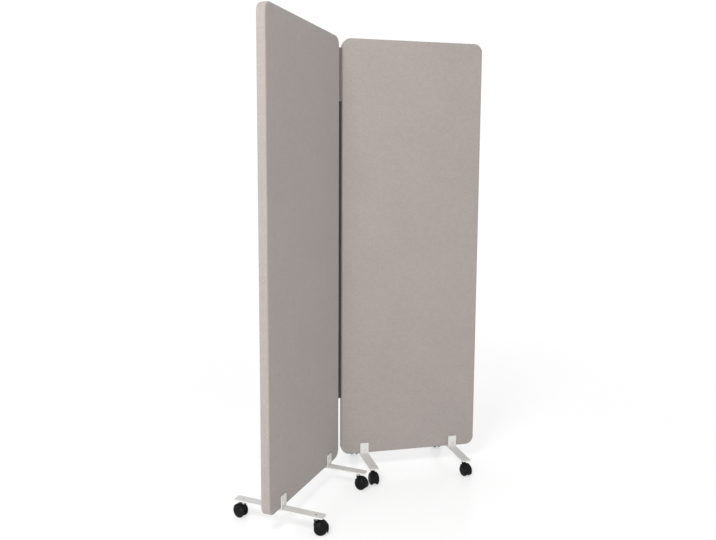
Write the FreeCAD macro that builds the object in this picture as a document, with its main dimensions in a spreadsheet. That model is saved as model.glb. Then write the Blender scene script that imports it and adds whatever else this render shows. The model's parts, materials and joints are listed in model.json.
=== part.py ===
"""Mobile acoustic screen: two fabric panels joined by a long zipper, on flat-bar feet with twin-wheel casters.

Lengths are millimetres, Z points up and the floor is Z = 0. Each panel has its own frame while it is built: X runs
along the panel with zero on its fold line, Y crosses it, and its front, the inner side of the fold, faces -Y. The
finished pieces are then shifted so that the middle of the whole footprint is the origin.
"""

import FreeCAD
import Part
import math
import os
from types import SimpleNamespace

import Sketcher
from FreeCAD import Placement, Rotation, Vector

# Driving dimensions: alias, value, what it measures.
DIMENSIONS = [
    ("panel_width", 600, "one panel, side edge to side edge"),
    ("panel_height", 1725, "one panel, bottom edge to top edge"),
    ("panel_thickness", 35, "over both covers"),
    ("panel_base", 75, "floor to the panel's bottom edge"),
    ("corner_radius", 35, "corners of the panel's face"),
    ("edge_round", 5, "rounding of the cover from face to edge"),
    ("cover_sheet", 2, "fabric with its wadding"),
    ("stile_width", 40, "upright timber of the inner frame"),
    ("rail_height", 45, "top and bottom timber of the inner frame"),
    ("frame_round", 3.2, "arris of the inner frame"),
    ("fold_gap", 32, "zipper web between the two side edges"),
    ("fold_rest", 53.5, "degrees that the panels are turned out of line"),
    ("fold_travel", 105, "degrees that they open from there"),
    ("zipper_length", 1235, "tape, end to end"),
    ("tape_sheet", 0.9, "thickness of the tape"),
    ("flap_height", 208, "cloth flap that closes the gap above the zipper"),
    ("flap_gap", 1, "tape's upper end to the flap"),
    ("tape_hem", 1, "radius of the rolled hem sewn into the side seam"),
    ("seam_play", 0.3, "room round the hem in the seam"),
    ("teeth_width", 2.4, "one row of teeth, across the web"),
    ("teeth_depth", 2.4, "one row of teeth, through the web"),
    ("teeth_slot", 1.2, "slot between the rows, where the slider's neck runs"),
    ("box_height", 12, "retainer box at the foot of the zipper"),
    ("box_depth", 4.2, "retainer box, through the web"),
    ("box_round", 0.8, "upright edges of the retainer box"),
    ("slider_height", 14, "slider body"),
    ("slider_width", 10, "slider body"),
    ("slider_sheet", 1.3, "each plate of the slider"),
    ("slider_play", 0.3, "plate to teeth"),
    ("neck_sheet", 0.8, "blade joining the slider's plates"),
    ("blade_height", 4, "height of that blade"),
    ("slider_rest", 2, "closed slider to the zipper's head, and open slider to the retainer box"),
    ("ear_sheet", 1.4, "each ear that holds the pull tab's pin"),
    ("ear_inner", 2.6, "middle of the slider to the ear's inner face"),
    ("pin_out", 2, "pull tab's pin behind the slider's rear plate"),
    ("pin_rise", 8.4, "pull tab's pin above the slider's lower end"),
    ("pull_length", 30, "pull tab below its pin"),
    ("pull_sheet", 1.6, "pull tab thickness"),
    ("pull_neck_half", 2.2, "half width of the pull tab's eye and shank"),
    ("pull_shank", 12, "shank of the pull tab below its pin"),
    ("pull_grip_half", 3.4, "half width of the pull tab's grip"),
    ("pull_lap", 2, "grip above the end of the shank"),
    ("pull_pin", 0.8, "radius of the pull tab's pin"),
    ("foot_inset", 100, "foot centre to the panel's side edge"),
    ("bar_length", 358, "foot bar, tip to tip"),
    ("bar_width", 38, "foot bar"),
    ("bar_sheet", 5, "foot bar thickness"),
    ("bar_corner", 7, "corners of the foot bar"),
    ("bar_edge", 0.8, "edge rounding of the foot bar"),
    ("saddle_width", 37, "U-shaped saddle, along the panel"),
    ("saddle_sheet", 3.5, "saddle plate thickness"),
    ("saddle_height", 45, "saddle flange above the panel's bottom edge"),
    ("saddle_bend", 4.5, "outer bend of the saddle"),
    ("saddle_corner", 3, "top corners of the flanges"),
    ("clamp_height", 17.5, "clamp screw above the panel's bottom edge"),
    ("clamp_radius", 3, "shank of the clamp screw"),
    ("clamp_hole", 3.25, "radius of its holes"),
    ("clamp_head", 6, "radius of its head and nut"),
    ("head_rim", 1.2, "straight part of the head"),
    ("head_dome", 1.6, "sloped part of the head"),
    ("head_crown", 3.6, "radius of the head's flat top"),
    ("socket_radius", 2.2, "hexagon socket, across corners"),
    ("nut_depth", 4.5, "clamp nut"),
    ("nut_engaged", 2.5, "screw inside the clamp nut"),
    ("nut_room", 0.5, "end of the screw to the nut's closed end"),
    ("caster_reach", 147, "caster stem to the panel's middle plane"),
    ("stem_radius", 4, "caster stem"),
    ("stem_foot", 31, "lower end of the stem above the floor"),
    ("stem_play", 0.05, "stem in its bores, on the radius"),
    ("collar_radius", 6.5, "collar of the stem"),
    ("collar_height", 1.6, "collar of the stem"),
    ("collar_play", 0.3, "collar above the caster's neck"),
    ("lock_nut_flats", 13, "lock nut, across flats"),
    ("lock_nut_height", 4.5, "lock nut"),
    ("wheel_radius", 24, "tread of the caster wheel"),
    ("wheel_inner", 8, "middle plane of the caster to the wheel's inner face"),
    ("wheel_outer", 19.5, "middle plane of the caster to the wheel's outer face"),
    ("tread_end", 14.5, "middle plane of the caster to the end of the tread"),
    ("hub_radius", 11, "flat middle of the wheel's outer face"),
    ("wheel_shoulder", 20.2, "radius where the wheel's outer face starts to dome"),
    ("wheel_dome", 1.6, "dome of the wheel's outer face"),
    ("wheel_soft", 1.2, "rounding of the tread's edges"),
    ("axle_radius", 3, "axle pin"),
    ("axle_play", 0.05, "wheel on its axle, on the radius"),
    ("axle_half", 17, "half length of the axle pin"),
    ("axle_room", 0.5, "end of the axle pin to the wheel's outer wall"),
    ("trail", 15, "stem axis to wheel axis"),
    ("hood_radius", 27, "outside of the hood"),
    ("hood_sheet", 2, "hood wall"),
    ("hood_half", 12.5, "half width of the hood"),
    ("hood_slope", 24, "degrees that the hood's lower edge slopes, low behind and high in front"),
    ("hood_opening", 80, "side of the block that opens the hood below"),
    ("web_half", 5.5, "half thickness of the hood's middle web"),
    ("boss_radius", 7, "boss round the axle"),
    ("neck_radius", 7.4, "neck round the stem"),
    ("neck_top", 53, "top of the neck above the floor"),
    ("neck_flange", 9, "radius of the ring on top of the neck"),
    ("neck_flange_height", 4, "ring on top of the neck"),
    ("neck_floor", 30, "bottom of the stem's bore"),
    ("neck_root", 3, "neck below the stem's bore"),
    ("pedal_barrel", 2, "radius of the brake pedal's barrel"),
    ("pedal_play", 0.4, "room round the barrel"),
    ("pedal_half", 7.5, "half width of the brake pedal"),
    ("pedal_sheet", 2.2, "brake pedal thickness"),
    ("pedal_off", 0.5, "brake pedal off the hood"),
    ("pedal_up", 24, "degrees of the pedal's pivot above the axle"),
    ("pedal_down", 34, "degrees of the pedal's tip below the axle"),
    ("pedal_travel", 18, "degrees that the pedal lifts"),
    ("pedal_lip", 5.3, "lip at the pedal's tip, outwards"),
]

# The way each caster trails from its stem, in degrees from +X of the finished object.
TRAILS = {
    ("right", "hinge", "front"): -88,
    ("right", "hinge", "rear"): 84,
    ("right", "free", "front"): -77,
    ("right", "free", "rear"): 98,
    ("left", "hinge", "front"): -48,
    ("left", "hinge", "rear"): 150,
    ("left", "free", "front"): -12,
    ("left", "free", "rear"): 132,
}
BRAKED = [("left", "free", "front"), ("right", "free", "rear")]

doc = FreeCAD.newDocument("mobile_screen")


class Dim:
    """A length that knows its value and the sheet expression that gives it."""

    def __init__(self, value, text):
        self.value, self.text = value, text

    def __add__(self, other):
        other = dim(other)
        return Dim(self.value + other.value, f"({self.text} + {other.text})")

    def __sub__(self, other):
        other = dim(other)
        return Dim(self.value - other.value, f"({self.text} - {other.text})")

    def __mul__(self, factor):
        return Dim(self.value * factor, f"({self.text} * {factor})")

    def __neg__(self):
        return self * -1


def dim(length):
    return length if isinstance(length, Dim) else Dim(length, f"({length})")


def make_sheet():
    """Writes the driving dimensions into a spreadsheet and returns them as Dims, by alias."""
    sheet = doc.addObject("Spreadsheet::Sheet", "Sizes")
    for row, (alias, value, note) in enumerate(DIMENSIONS, 1):
        sheet.set(f"A{row}", alias)
        sheet.set(f"B{row}", str(value))
        sheet.setAlias(f"B{row}", alias)
        sheet.set(f"C{row}", note)
    doc.recompute()
    return SimpleNamespace(**{alias: Dim(value, f"Sizes.{alias}") for alias, value, _ in DIMENSIONS})


size = make_sheet()


# ---- helpers -------------------------------------------------------------------------------------------------------


def bind(feature, **lengths):
    """Binds properties of a feature to the sheet."""
    for name, length in lengths.items():
        feature.setExpression(name, dim(length).text)


def primitive(kind, name, place=None, **lengths):
    """A Part primitive with bound sizes, at a point or a Placement."""
    shape = doc.addObject(f"Part::{kind}", name)
    bind(shape, **lengths)
    if place is not None:
        shape.Placement = place if isinstance(place, Placement) else Placement(place, Rotation())
    return shape


def cut(name, base, tool):
    result = doc.addObject("Part::Cut", name)
    result.Base, result.Tool = base, tool
    return result


def fuse(name, *shapes):
    result = doc.addObject("Part::MultiFuse", name)
    result.Shapes = list(shapes)
    result.Refine = True
    return result


def group(name, pieces):
    """Several separate solids that share one node."""
    result = doc.addObject("Part::Compound", name)
    result.Links = pieces
    return result


def new_body(name):
    return doc.addObject("PartDesign::Body", name)


def new_sketch(body, name, plane):
    """A sketch on one of the body's own origin planes."""
    sketch = body.newObject("Sketcher::SketchObject", name)
    sketch.AttachmentSupport = [(next(f for f in body.Origin.OriginFeatures if f.Role == plane), "")]
    sketch.MapMode = "FlatFace"
    return sketch


def fix_point(sketch, geometry, vertex, x, y):
    """Places a point of the sketch at bound distances from its origin."""
    for kind, axis, length in (("DistanceX", -2, dim(x)), ("DistanceY", -1, dim(y))):
        if length.value == 0:
            sketch.addConstraint(Sketcher.Constraint("PointOnObject", geometry, vertex, axis))
            continue
        ends = (-1, 1, geometry, vertex) if length.value > 0 else (geometry, vertex, -1, 1)
        index = sketch.addConstraint(Sketcher.Constraint(kind, *ends, abs(length.value)))
        sketch.setExpression(f"Constraints[{index}]", (length if length.value > 0 else -length).text)


def polygon(body, name, plane, points):
    """A closed outline of straight edges, each corner placed from the sheet."""
    sketch = new_sketch(body, name, plane)
    places = [Vector(dim(x).value, dim(y).value, 0) for x, y in points]
    for start, end in zip(places, places[1:] + places[:1]):
        sketch.addGeometry(Part.LineSegment(start, end))
    for i, (x, y) in enumerate(points):
        sketch.addConstraint(Sketcher.Constraint("Coincident", i - 1 if i else len(points) - 1, 2, i, 1))
        fix_point(sketch, i, 1, x, y)
    return sketch


def rectangle(body, name, plane, low, high):
    return polygon(body, name, plane, [low, (high[0], low[1]), high, (low[0], high[1])])


def holes(body, name, plane, centres, radius, two_way=False):
    """Cuts round holes right through, from the sketch plane or both ways from it."""
    sketch = new_sketch(body, f"{name}_sketch", plane)
    for i, (x, y) in enumerate(centres):
        place = Vector(dim(x).value, dim(y).value, 0)
        sketch.addGeometry(Part.Circle(place, Vector(0, 0, 1), radius.value))
        fix_point(sketch, i, 3, x, y)
        index = sketch.addConstraint(Sketcher.Constraint("Radius", i, radius.value))
        sketch.setExpression(f"Constraints[{index}]", radius.text)
    pocket = body.newObject("PartDesign::Pocket", name)
    pocket.Profile = sketch
    pocket.Type = "ThroughAll"
    if two_way:
        pocket.SideType = "Symmetric"
    return pocket


def pad(body, name, sketch, length, both_ways=False, reverse=False):
    feature = body.newObject("PartDesign::Pad", name)
    feature.Profile = sketch
    bind(feature, Length=length)
    feature.SideType = "Symmetric" if both_ways else "One side"
    feature.Reversed = reverse
    doc.recompute()
    return feature


def edges(feature, wanted):
    """Names of the feature's edges that pass a test."""
    return [f"Edge{i}" for i, edge in enumerate(feature.Shape.Edges, 1) if wanted(edge)]


def fillet(body, name, base, radius, wanted):
    feature = body.newObject("PartDesign::Fillet", name)
    feature.Base = (base, edges(base, wanted))
    bind(feature, Radius=radius)
    doc.recompute()
    return feature


def near(a, b):
    return abs(a - b) < 1e-4


def along(edge, axis):
    """True for a straight edge parallel to axis 0, 1 or 2."""
    if len(edge.Vertexes) != 2 or edge.Curve.TypeId != "Part::GeomLine":
        return False
    step = edge.Vertexes[1].Point - edge.Vertexes[0].Point
    return all(near(step[k], 0) for k in range(3) if k != axis)


def lies_at(edge, axis, place):
    """True for an edge wholly in the plane where the coordinate of that axis is place."""
    low, high = (getattr(edge.BoundBox, f"{'XYZ'[axis]}{end}") for end in ("Min", "Max"))
    return near(low, place) and near(high, place)


# ---- layout --------------------------------------------------------------------------------------------------------

fold_half = size.fold_rest * 0.5
half_gap = size.fold_gap * 0.5
panel_top = size.panel_base + size.panel_height
half_width = size.panel_width * 0.5
half_thickness = size.panel_thickness * 0.5
inner_half = half_thickness - size.cover_sheet
zipper_foot = size.panel_base + (size.panel_height - size.zipper_length) * 0.5
zipper_head = zipper_foot + size.zipper_length
foot_offset = half_width - size.foot_inset
bar_top = size.panel_base - size.saddle_sheet
bar_foot = bar_top - size.bar_sheet
flange_face = half_thickness + size.saddle_sheet
clamp_level = size.panel_base + size.clamp_height

LENGTHWISE = Rotation(Vector(1, 0, 0), -90)  # turns a cylinder's axis from +Z to +Y
SIDEWAYS = Rotation(Vector(0, 1, 0), 90)  # turns a cylinder's axis from +Z to +X
HANDS = {"right": 1, "left": -1}
STATIONS = {"hinge": size.foot_inset.value, "free": size.panel_width.value - size.foot_inset.value}


def turned(x, y, degrees):
    return Placement(Vector(x, y, 0), Rotation(Vector(0, 0, 1), degrees))


# The web runs between the two fold lines; the right panel lies along X, and the left one is turned by fold_rest.
web_place = turned(0, 0, fold_half.value)
panel_places = {}
for hand, turn in (("right", 0), ("left", size.fold_rest.value)):
    fold_line = web_place.multVec(Vector(HANDS[hand] * half_gap.value, 0, 0))
    panel_places[hand] = turned(fold_line.x, fold_line.y, turn)


def in_panel(hand, x=0, y=0, z=0, degrees=0):
    """A place given in a panel's own frame; x is measured away from the fold line on either panel."""
    return panel_places[hand] * Placement(Vector(HANDS[hand] * x, y, z), Rotation(Vector(0, 0, 1), degrees))


# ---- panels --------------------------------------------------------------------------------------------------------


def cover(hand, face):
    """Fabric half-shell: a padded face whose edges wrap to the middle of the panel's thickness."""
    front = face == "front"
    body = new_body(f"{hand}_{face}_cover")
    outline = rectangle(
        body, f"{body.Name}_outline", "XZ_Plane", (-half_width, size.panel_base), (half_width, panel_top)
    )
    block = pad(body, f"{body.Name}_block", outline, half_thickness, reverse=not front)
    corners = fillet(body, f"{body.Name}_corners", block, size.corner_radius, lambda e: along(e, 1))
    outside = half_thickness.value * (-1 if front else 1)
    rounded = fillet(body, f"{body.Name}_rounding", corners, size.edge_round, lambda e: lies_at(e, 1, outside))
    shell = body.newObject("PartDesign::Thickness", f"{body.Name}_shell")
    boxes = enumerate((face.BoundBox for face in rounded.Shape.Faces), 1)
    shell.Base = (rounded, [f"Face{i}" for i, box in boxes if near(box.YMin, 0) and near(box.YMax, 0)])
    shell.Reversed = True
    bind(shell, Value=size.cover_sheet)
    doc.recompute()
    centres = [(-foot_offset, clamp_level), (foot_offset, clamp_level)]
    holes(body, f"{body.Name}_clamp_holes", "XZ_Plane", centres, size.clamp_hole, two_way=True)
    groove = body.newObject("PartDesign::SubtractiveCylinder", f"{body.Name}_seam")
    groove.Placement = Placement(Vector(-HANDS[hand] * half_width.value, 0, zipper_foot.value), Rotation())
    seam = size.zipper_length + size.flap_gap + size.flap_height
    bind(groove, Radius=size.tape_hem + size.seam_play, Height=seam)
    body.Placement = in_panel(hand, half_width.value)
    return body


def rail(hand, end):
    """Top or bottom timber of the inner frame, with the panel's corners."""
    body = new_body(f"{hand}_{end}_rail")
    outer, low = half_width - size.cover_sheet, size.panel_base + size.cover_sheet
    high = low + size.rail_height
    if end == "top":
        high = panel_top - size.cover_sheet
        low = high - size.rail_height
    outline = rectangle(body, f"{body.Name}_outline", "XZ_Plane", (-outer, low), (outer, high))
    block = pad(body, f"{body.Name}_block", outline, inner_half * 2, both_ways=True)
    outside, inside = (high, low) if end == "top" else (low, high)
    corner = size.corner_radius - size.cover_sheet
    rounded = fillet(
        body, f"{body.Name}_corners", block, corner, lambda e: along(e, 1) and lies_at(e, 2, outside.value)
    )
    fillet(
        body,
        f"{body.Name}_arris",
        rounded,
        size.frame_round,
        lambda e: any(lies_at(e, 1, s * inner_half.value) for s in (-1, 1)) and not lies_at(e, 2, inside.value),
    )
    if end == "bottom":
        centres = [(-foot_offset, clamp_level), (foot_offset, clamp_level)]
        holes(body, f"{body.Name}_clamp_holes", "XZ_Plane", centres, size.clamp_hole, two_way=True)
    return body


def stile(hand, side):
    """Upright timber of the inner frame, at the panel's side -1 or +1."""
    body = new_body(f"{hand}_stile_{'a' if side < 0 else 'b'}")
    outer = half_width - size.cover_sheet
    inner = outer - size.stile_width
    low = size.panel_base + size.cover_sheet + size.rail_height
    high = panel_top - size.cover_sheet - size.rail_height
    edge_a, edge_b = (inner, outer) if side > 0 else (-outer, -inner)
    outline = rectangle(body, f"{body.Name}_outline", "XZ_Plane", (edge_a, low), (edge_b, high))
    block = pad(body, f"{body.Name}_block", outline, inner_half * 2, both_ways=True)
    fillet(
        body,
        f"{body.Name}_arris",
        block,
        size.frame_round,
        lambda e: along(e, 2) and lies_at(e, 0, side * outer.value),
    )
    return body


def core(hand):
    """Sound-absorbing board that fills the inner frame."""
    body = new_body(f"{hand}_core")
    side = half_width - size.cover_sheet - size.stile_width
    low = size.panel_base + size.cover_sheet + size.rail_height
    high = panel_top - size.cover_sheet - size.rail_height
    outline = rectangle(body, f"{body.Name}_outline", "XZ_Plane", (-side, low), (side, high))
    pad(body, f"{body.Name}_block", outline, inner_half * 2, both_ways=True)
    body.Placement = in_panel(hand, half_width.value)
    return body


def panel(hand):
    """Covers, inner frame and core of one panel."""
    rails = group(f"{hand}_rails", [rail(hand, end) for end in ("bottom", "top")])
    stiles = group(f"{hand}_stiles", [stile(hand, side) for side in (-1, 1)])
    for timbers in (rails, stiles):
        timbers.Placement = in_panel(hand, half_width.value)
    return [cover(hand, "front"), cover(hand, "rear"), rails, stiles, core(hand)]


# ---- feet ----------------------------------------------------------------------------------------------------------


def foot_bar(hand, foot, x):
    """Flat bar across and under the panel, drilled for a caster stem near each tip."""
    body = new_body(f"{hand}_{foot}_foot_bar")
    half = (size.bar_width * 0.5, size.bar_length * 0.5)
    outline = rectangle(body, f"{body.Name}_outline", "XY_Plane", (-half[0], -half[1]), half)
    block = pad(body, f"{body.Name}_block", outline, size.bar_sheet)
    corners = fillet(body, f"{body.Name}_corners", block, size.bar_corner, lambda e: along(e, 2))
    levels = (0, size.bar_sheet.value)
    fillet(
        body, f"{body.Name}_edge", corners, size.bar_edge, lambda e: any(lies_at(e, 2, z) for z in levels)
    )
    centres = [(0, -size.caster_reach), (0, size.caster_reach)]
    holes(body, f"{body.Name}_stem_holes", "XY_Plane", centres, size.stem_radius + size.stem_play, two_way=True)
    body.Placement = in_panel(hand, x, z=bar_foot.value)
    return body


def saddle(hand, foot, x):
    """U-shaped plate, welded on the bar, whose flanges grip the panel's bottom edge."""
    body = new_body(f"{hand}_{foot}_foot_saddle")
    foot_level, head_level = size.panel_base - size.saddle_sheet, size.panel_base + size.saddle_height
    profile = [
        (-flange_face, foot_level),
        (flange_face, foot_level),
        (flange_face, head_level),
        (half_thickness, head_level),
        (half_thickness, size.panel_base),
        (-half_thickness, size.panel_base),
        (-half_thickness, head_level),
        (-flange_face, head_level),
    ]
    outline = polygon(body, f"{body.Name}_profile", "YZ_Plane", profile)
    block = pad(body, f"{body.Name}_block", outline, size.saddle_width, both_ways=True)
    bent = fillet(
        body,
        f"{body.Name}_bends",
        block,
        size.saddle_bend,
        lambda e: along(e, 0) and lies_at(e, 2, foot_level.value),
    )
    fillet(
        body,
        f"{body.Name}_corners",
        bent,
        size.saddle_corner,
        lambda e: along(e, 1) and lies_at(e, 2, head_level.value),
    )
    holes(body, f"{body.Name}_clamp_holes", "XZ_Plane", [(0, clamp_level)], size.clamp_hole, two_way=True)
    body.Placement = in_panel(hand, x)
    return body


def clamp_screw(name):
    """Button-head screw through both flanges; its head is in front."""
    head_face = -flange_face.value
    shank = primitive(
        "Cylinder",
        f"{name}_shank",
        Placement(Vector(0, head_face, 0), LENGTHWISE),
        Radius=size.clamp_radius,
        Height=flange_face * 2 + size.nut_engaged,
    )
    rim = primitive(
        "Cylinder",
        f"{name}_rim",
        Placement(Vector(0, head_face - size.head_rim.value, 0), LENGTHWISE),
        Radius=size.clamp_head,
        Height=size.head_rim,
    )
    dome_face = head_face - size.head_rim.value - size.head_dome.value
    dome = primitive(
        "Cone",
        f"{name}_dome",
        Placement(Vector(0, dome_face, 0), LENGTHWISE),
        Radius1=size.head_crown,
        Radius2=size.clamp_head,
        Height=size.head_dome,
    )
    socket = primitive(
        "Prism",
        f"{name}_socket",
        Placement(Vector(0, dome_face, 0), LENGTHWISE),
        Circumradius=size.socket_radius,
        Height=size.head_dome,
    )
    solid = fuse(f"{name}_solid", shank, rim, dome)
    return cut(name, solid, socket)


def clamp_nut(name):
    """Closed round nut on the rear flange."""
    face = flange_face.value
    disc = primitive(
        "Cylinder",
        f"{name}_disc",
        Placement(Vector(0, face, 0), LENGTHWISE),
        Radius=size.clamp_head,
        Height=size.nut_depth,
    )
    thread = primitive(
        "Cylinder",
        f"{name}_thread",
        Placement(Vector(0, face, 0), LENGTHWISE),
        Radius=size.clamp_radius + size.stem_play,
        Height=size.nut_engaged + size.nut_room,
    )
    return cut(name, disc, thread)


def caster_stem(name):
    """Threaded stem with a collar above the caster's neck; its head is flush with the bar."""
    shaft = primitive(
        "Cylinder",
        f"{name}_shaft",
        Vector(0, 0, size.stem_foot.value),
        Radius=size.stem_radius,
        Height=bar_top - size.stem_foot,
    )
    collar = primitive(
        "Cylinder",
        f"{name}_collar",
        Vector(0, 0, size.neck_top.value + size.collar_play.value),
        Radius=size.collar_radius,
        Height=size.collar_height,
    )
    return fuse(name, shaft, collar)


def lock_nut(name):
    """Hexagon nut tightened against the underside of the bar."""
    foot = Vector(0, 0, bar_foot.value - size.lock_nut_height.value)
    hexagon = primitive(
        "Prism",
        f"{name}_hexagon",
        foot,
        Circumradius=size.lock_nut_flats * round(1 / math.sqrt(3), 6),
        Height=size.lock_nut_height,
    )
    thread = primitive(
        "Cylinder", f"{name}_thread", foot, Radius=size.stem_radius + size.stem_play, Height=size.lock_nut_height
    )
    return cut(name, hexagon, thread)


def feet(hand):
    """Two feet of one panel, with the clamp and caster fasteners grouped by kind."""
    reach = size.caster_reach.value
    nodes = []
    for foot, x in STATIONS.items():
        nodes += [foot_bar(hand, foot, x), saddle(hand, foot, x)]
    fasteners = {"clamp_screws": clamp_screw, "clamp_nuts": clamp_nut}
    for kind, make in fasteners.items():
        pieces = []
        for foot, x in STATIONS.items():
            piece = make(f"{hand}_{foot}_{kind[:-1]}")
            piece.Placement = in_panel(hand, x, z=clamp_level.value)
            pieces.append(piece)
        nodes.append(group(f"{hand}_{kind}", pieces))
    for kind, make in {"caster_stems": caster_stem, "lock_nuts": lock_nut}.items():
        pieces = []
        for foot, x in STATIONS.items():
            for end, y in (("front", -reach), ("rear", reach)):
                piece = make(f"{hand}_{foot}_{end}_{kind[:-1]}")
                piece.Placement = in_panel(hand, x, y)
                pieces.append(piece)
        nodes.append(group(f"{hand}_{kind}", pieces))
    return nodes


# ---- casters -------------------------------------------------------------------------------------------------------
# A caster's frame has its stem on Z and its wheels trailing towards +X, with the axle parallel to Y.

AXLE = Vector(size.trail.value, 0, size.wheel_radius.value)


def across(name, kind, half, **lengths):
    """A cylinder on the axle's line, as long each way from the middle plane as half."""
    place = Placement(AXLE - Vector(0, half.value, 0), LENGTHWISE)
    return primitive(kind, name, place, Height=half * 2, **lengths)


def pivot_point():
    """Where the brake pedal's barrel sits on the hood."""
    angle = math.radians(size.pedal_up.value)
    reach = size.hood_radius.value
    return AXLE + Vector(reach * math.cos(angle), 0, reach * math.sin(angle))


def caster_hood(name, braked):
    """Hood over the wheels, joined by a middle web to the axle boss and to the neck round the stem, with its axle."""
    shell = cut(
        f"{name}_shell",
        across(f"{name}_outer", "Cylinder", size.hood_half, Radius=size.hood_radius),
        across(f"{name}_inner", "Cylinder", size.hood_half, Radius=size.hood_radius - size.hood_sheet),
    )
    web = across(f"{name}_web", "Cylinder", size.web_half, Radius=size.hood_radius - size.hood_sheet * 0.5)
    drum = fuse(f"{name}_drum", shell, web)
    side = size.hood_opening
    lower = primitive(
        "Box",
        f"{name}_lower",
        Placement(AXLE, Rotation(Vector(0, 1, 0), size.hood_slope.value))
        * Placement(Vector(-side.value * 0.5, -side.value * 0.5, -side.value), Rotation()),
        Length=side,
        Width=side,
        Height=side,
    )
    upper = cut(f"{name}_upper", drum, lower)
    boss = across(f"{name}_boss", "Cylinder", size.web_half, Radius=size.boss_radius)
    neck = primitive(
        "Cylinder",
        f"{name}_neck",
        Vector(0, 0, size.neck_floor.value - size.neck_root.value),
        Radius=size.neck_radius,
        Height=size.neck_top - size.neck_floor + size.neck_root,
    )
    flange = primitive(
        "Cylinder",
        f"{name}_flange",
        Vector(0, 0, size.neck_top.value - size.neck_flange_height.value),
        Radius=size.neck_flange,
        Height=size.neck_flange_height,
    )
    solid = fuse(f"{name}_solid", upper, boss, neck, flange)
    tools = [
        primitive(
            "Cylinder",
            f"{name}_stem_bore",
            Vector(0, 0, size.neck_floor.value),
            Radius=size.stem_radius + size.stem_play,
            Height=size.neck_top - size.neck_floor,
        ),
        across(f"{name}_axle_bore", "Cylinder", size.hood_half, Radius=size.axle_radius),
    ]
    if braked:
        seat = Placement(pivot_point() - Vector(0, size.hood_half.value, 0), LENGTHWISE)
        room = size.pedal_barrel + size.pedal_play
        tools.append(primitive("Cylinder", f"{name}_pedal_seat", seat, Radius=room, Height=size.hood_half * 2))
    housing = cut(f"{name}_housing", solid, fuse(f"{name}_bores", *tools))
    axle = across(f"{name}_axle", "Cylinder", size.axle_half, Radius=size.axle_radius)
    return group(name, [housing, axle])


def caster_wheel(name, side):
    """Wheel with a flat tread and a domed outer face, turned about its axle; side is -1 or +1."""
    body = new_body(name)
    bore = size.axle_radius + size.axle_play
    cap = size.axle_half + size.axle_room
    profile = [
        (bore, size.wheel_inner),
        (size.wheel_radius, size.wheel_inner),
        (size.wheel_radius, size.tread_end),
        (size.wheel_shoulder, size.wheel_outer - size.wheel_dome),
        (size.hub_radius, size.wheel_outer),
        (0, size.wheel_outer),
        (0, cap),
        (bore, cap),
    ]
    outline = polygon(body, f"{name}_profile", "XZ_Plane", profile)
    turned_solid = body.newObject("PartDesign::Revolution", f"{name}_turned")
    turned_solid.Profile = outline
    turned_solid.ReferenceAxis = (outline, ["V_Axis"])
    turned_solid.Angle = 360
    doc.recompute()
    rim = size.wheel_radius.value
    fillet(
        body,
        f"{name}_soft",
        turned_solid,
        size.wheel_soft,
        lambda e: near(e.BoundBox.XMax, rim) and near(e.BoundBox.ZMin, e.BoundBox.ZMax),
    )
    body.Placement = Placement(AXLE, Rotation(Vector(1, 0, 0), -90 * side))
    return body


def brake_pedal(name):
    """Curved pedal that hugs the back of the hood and lifts on its barrel."""
    seat, half = pivot_point(), size.pedal_half
    barrel = primitive(
        "Cylinder",
        f"{name}_barrel",
        Placement(seat - Vector(0, half.value, 0), LENGTHWISE),
        Radius=size.pedal_barrel,
        Height=half * 2,
    )
    inner = size.hood_radius + size.pedal_off
    sweep = size.pedal_up + size.pedal_down
    raised, lowered = (Rotation(Vector(0, 1, 0), a) for a in (-size.pedal_up.value, size.pedal_down.value))
    sector = Placement(AXLE - Vector(0, half.value, 0), raised * LENGTHWISE)
    outer_wedge = primitive(
        "Cylinder", f"{name}_outside", sector, Radius=inner + size.pedal_sheet, Height=half * 2, Angle=sweep
    )
    inner_wedge = primitive("Cylinder", f"{name}_inside", sector, Radius=inner, Height=half * 2, Angle=sweep)
    strip = cut(f"{name}_strip", outer_wedge, inner_wedge)
    tip = primitive(
        "Box",
        f"{name}_tip",
        Placement(AXLE, lowered) * Placement(Vector(inner.value, -half.value, -size.pedal_sheet.value), Rotation()),
        Length=size.pedal_lip,
        Width=half * 2,
        Height=size.pedal_sheet,
    )
    return fuse(name, barrel, strip, tip)


def casters(hand):
    """Four casters of one panel, each swivelled to its own resting direction."""
    reach = size.caster_reach.value
    nodes = []
    for (side, foot, end), trail in TRAILS.items():
        if side != hand:
            continue
        place = in_panel(hand, STATIONS[foot], reach * (1 if end == "rear" else -1))
        place.Rotation = Rotation(Vector(0, 0, 1), trail)
        name = f"{side}_{foot}_{end}"
        braked = (side, foot, end) in BRAKED
        pieces = [caster_hood(f"{name}_caster_hood", braked)]
        pieces += [caster_wheel(f"{name}_wheel_{tag}", turn) for tag, turn in (("a", -1), ("b", 1))]
        if braked:
            pieces.append(brake_pedal(f"{name}_brake_pedal"))
        for piece in pieces:
            piece.Placement = place * piece.Placement
        report(f"{name}_caster", place.Base, place.multVec(AXLE), trail)
        if braked:
            report(f"{name}_pedal", place.multVec(pivot_point()))
        nodes += pieces
    return nodes


# ---- zipper --------------------------------------------------------------------------------------------------------
# The web's frame has X across the web, from the left fold line to the right one, and its front faces -Y.


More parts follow.
